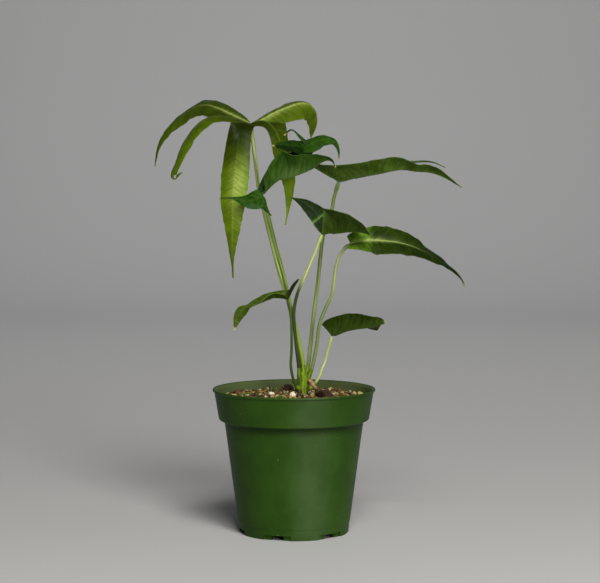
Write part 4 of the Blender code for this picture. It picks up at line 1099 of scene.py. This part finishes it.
# Each set also lists larger pieces that the rim leaves in sight: x, y, length, width, height, tint
lumpSets = {
    "barkPieces": {
        "count": 300, "long": (3.5, 8), "wide": (0.45, 0.75), "tall": (0.3, 0.5), "sink": 0.18,
        "detail": 2, "facets": 9, "rough": 0.07, "clear": 8,
        "deep": (0.03, 0.014, 0.007), "light": (0.16, 0.075, 0.03), "scale": 380,
        "marked": ((-36.6, 15, 9.5, 7, 7, 0.75), (-29.5, 10, 8, 5, 5, 0.45),
            (-3.5, 15, 8, 6, 9, 0.02), (20, -7.5, 13, 10, 9.5, 0.02), (29, 24, 8.5, 5, 4.8, 0.7),
            (34, 10, 8, 5, 4.2, 0.6), (44.5, 4, 4.5, 3.5, 3.5, 0.3)),
    },
    "pumicePieces": {
        "count": 230, "long": (2, 4.2), "wide": (0.7, 0.95), "tall": (0.6, 0.85), "sink": 0.1,
        "detail": 2, "facets": 6, "rough": 0.12, "clear": 6.5,
        "deep": (0.15, 0.10, 0.03), "light": (0.50, 0.40, 0.15), "scale": 520,
        "marked": ((-29, 20, 4.2, 3.2, 3.6, 0.9), (39, 15, 4.6, 4, 4.6, 0.95),
            (43, 10, 4.2, 3.6, 4.6, 0.85)),
    },
    "ochrePieces": {
        "count": 300, "long": (1.8, 4.8), "wide": (0.55, 0.9), "tall": (0.45, 0.7), "sink": 0.1,
        "detail": 2, "facets": 7, "rough": 0.1, "clear": 6.5,
        "deep": (0.09, 0.055, 0.01), "light": (0.36, 0.25, 0.045), "scale": 480,
        "marked": ((-27, 8, 6.5, 4.6, 5, 0.8), (-22.5, 16, 6, 4, 4.4, 0.7),
            (-19.5, 22, 5, 3.6, 4, 0.5), (33, 2, 7, 4.5, 3.8, 0.6)),
    },
    "perlitePieces": {
        "count": 190, "long": (1, 2.6), "wide": (0.75, 1), "tall": (0.7, 0.95), "sink": 0.05,
        "detail": 2, "facets": 3, "rough": 0.14, "clear": 5.5,
        "deep": (0.44, 0.36, 0.20), "light": (0.82, 0.75, 0.52), "scale": 900,
        "marked": ((-14.5, 2, 4.2, 3.4, 3.6, 0.95), (-0.8, -6.5, 5.4, 4.6, 5, 1),
            (10.5, 3, 3.6, 3.2, 3.4, 0.9)),
    },
    "soilCrumbs": {
        "count": 1700, "long": (0.7, 2), "wide": (0.6, 1), "tall": (0.5, 0.9), "sink": 0,
        "detail": 1, "facets": 4, "rough": 0.12, "clear": 4.6,
        "deep": (0.014, 0.009, 0.006), "light": (0.11, 0.062, 0.03), "scale": 800,
        "marked": (),
    },
}


def makeLumps(name, values):
    draw = random.Random(name)
    mesh = bmesh.new()
    layer = mesh.verts.layers.float.new("tint")
    for x, y, length, width, height, tint in values["marked"]:
        centre = (x, y, mixHeight(x, y) + height * lumpForm["markedRise"])
        addLump(mesh, layer, centre, (length, width, height), draw, values, 3, tint)
    crown = mixValues["crown"]
    stems = [crown] + [root["route"][-2][:2] for root in rootValues.values()]
    made = 0
    while made < values["count"]:
        length = draw.uniform(*values["long"])
        width = length * draw.uniform(*values["wide"])
        height = length * draw.uniform(*values["tall"])
        angle = draw.uniform(0.0, tau)
        furthest = mixValues["topRadius"] - length / 2 - lumpForm["inset"]
        reach = furthest * sqrt(draw.random())
        x, y = reach * cos(angle), reach * sin(angle)
        gap = min(dist((x, y), stem) for stem in stems)
        if gap < values["clear"] * (lumpForm["rootGap"] if gap < dist((x, y), crown) else 1.0):
            continue
        rise = height * (lumpForm["rise"] - values["sink"])
        centre = (x, y, mixHeight(x, y) + rise + draw.uniform(0, 0.5))
        addLump(mesh, layer, centre, (length, width, height), draw, values, values["detail"])
        made += 1
    material = earthMaterial(name, values, values["scale"])
    finishPiece(name, mesh, material, sharp=lumpForm["sharp"])


for name, values in lumpSets.items():
    makeLumps(name, values)

mossValues = {
    "patches": ((23, 2, 7), (16.5, 12, 6), (33, -3, 5), (-29, 3, 5), (7, 10, 5), (-12, 26, 6),
        (-8, -20, 6), (20, -26, 6), (12, 8, 4.5)),
    "tufts": 26, "leaves": 9, "clear": 4.6, "lean": (0.1, 1.0), "tall": (1.1, 2.4),
    "thick": (0.16, 0.3), "tip": 0.03,
    "deep": (0.03, 0.06, 0.008), "light": (0.16, 0.22, 0.03),
}


def makeMoss():
    draw = random.Random("moss")
    mesh = bmesh.new()
    layer = mesh.verts.layers.float.new("tint")
    for patchX, patchY, spread in mossValues["patches"]:
        for _ in range(mossValues["tufts"]):
            x = patchX + draw.gauss(0, spread / 2.4)
            y = patchY + draw.gauss(0, spread / 2.4)
            if (hypot(x, y) > mixValues["topRadius"] - 2
                    or dist((x, y), mixValues["crown"]) < mossValues["clear"]):
                continue
            ground = Matrix.Translation((x, y, mixHeight(x, y) + 0.3))
            shade = draw.random()
            for _ in range(mossValues["leaves"]):
                lean = Matrix.Rotation(draw.uniform(0, tau), 4, "Z")
                lean = lean @ Matrix.Rotation(draw.uniform(*mossValues["lean"]), 4, "X")
                tall = draw.uniform(*mossValues["tall"])
                place = ground @ lean @ Matrix.Translation((0.0, 0.0, tall / 2))
                leaf = bmesh.ops.create_cone(mesh, cap_ends=True, segments=4,
                                             radius1=draw.uniform(*mossValues["thick"]),
                                             radius2=mossValues["tip"], depth=tall,
                                             matrix=place)["verts"]
                for corner in leaf:
                    corner[layer] = shade
    material = earthMaterial("mossGreen", mossValues, 500.0, 0.7, 0.0006)
    finishPiece("mossTufts", mesh, material)


makeMoss()
print("potting mix made")


# Floor, backdrop, lights and camera

stageValues = {
    "floor": (0.505, 0.50, 0.495), "front": -3.0, "bend": 0.9, "bendSteps": 12, "back": 2.6,
    "wall": 3.2, "half": 3.5, "sky": (0.60, 0.62, 0.68), "skyStrength": 0.1,
}


def makeStage():
    shape = bmesh.new()
    bend, back, half = (stageValues[name] for name in ("bend", "back", "half"))
    points = [(-half, stageValues["front"], 0.0), (-half, back - bend, 0.0)]
    for step in range(1, stageValues["bendSteps"] + 1):
        angle = pi / 2 * step / stageValues["bendSteps"]
        points.append((-half, back - bend + bend * sin(angle), bend - bend * cos(angle)))
    points.append((-half, back, stageValues["wall"]))
    _, edges = addLine(shape, points)
    swept = bmesh.ops.extrude_edge_only(shape, edges=edges)["geom"]
    moved = [item for item in swept if isinstance(item, bmesh.types.BMVert)]
    bmesh.ops.translate(shape, vec=(2 * half, 0.0, 0.0), verts=moved)
    bmesh.ops.recalc_face_normals(shape, faces=shape.faces)
    floor = makeObject("paleFloor", shape, 1.0)
    floor.data.materials.append(Finish("paleFloor", stageValues["floor"], 0.8).material)


makeStage()

# Place, target, width and height, watts, colour, spread
lights = {
    "keyLight": ((0.29, -1.32, 1.5), (0, 0, 0.15), (0.8, 0.8), 33.0, (1.0, 0.99, 0.95), 180),
    "stripLight": ((0.62, -1.5, 0.55), (0, 0, 0.15), (0.4, 1.0), 14.0, (1.0, 0.99, 0.97), 180),
    "sideLight": ((1.7, -0.2, 0.8), (0, 0, 0.14), (1.0, 1.0), 1.0, (1.0, 0.98, 0.96), 180),
    "wallLight": ((0, 0.5, 2.2), (0, 2.15, 0.2), (1.2, 0.5), 6.5, (0.96, 0.97, 1.0), 100),
}
for name, (place, target, size, power, colour, spread) in lights.items():
    data = bpy.data.lights.new(name, "AREA")
    data.spread = radians(spread)
    data.shape = "RECTANGLE"
    data.size, data.size_y = size
    data.energy = power
    data.color = colour
    light = bpy.data.objects.new(name, data)
    light.location = place
    light.rotation_euler = (Vector(target) - Vector(place)).to_track_quat("-Z", "Y").to_euler()
    scene.collection.objects.link(light)

world = bpy.data.worlds.new("softGrey")
world.use_nodes = True
sky = world.node_tree.nodes["Background"].inputs
sky["Color"].default_value = (*stageValues["sky"], 1.0)
sky["Strength"].default_value = stageValues["skyStrength"]
scene.world = world
scene.view_settings.view_transform = "Standard"

# The photo's angle, solved from the pot's ellipses
cameraValues = {"lens": 115.02, "sensor": 36.0, "place": (0.0039, -1.2306, 0.2407), "dip": 3.954}
camera = bpy.data.objects.new("camera", bpy.data.cameras.new("camera"))
camera.data.lens = cameraValues["lens"]
camera.data.sensor_width = cameraValues["sensor"]
camera.location = cameraValues["place"]
camera.rotation_euler = (radians(90.0 - cameraValues["dip"]), 0.0, 0.0)
scene.collection.objects.link(camera)
scene.camera = camera
print("stage made")
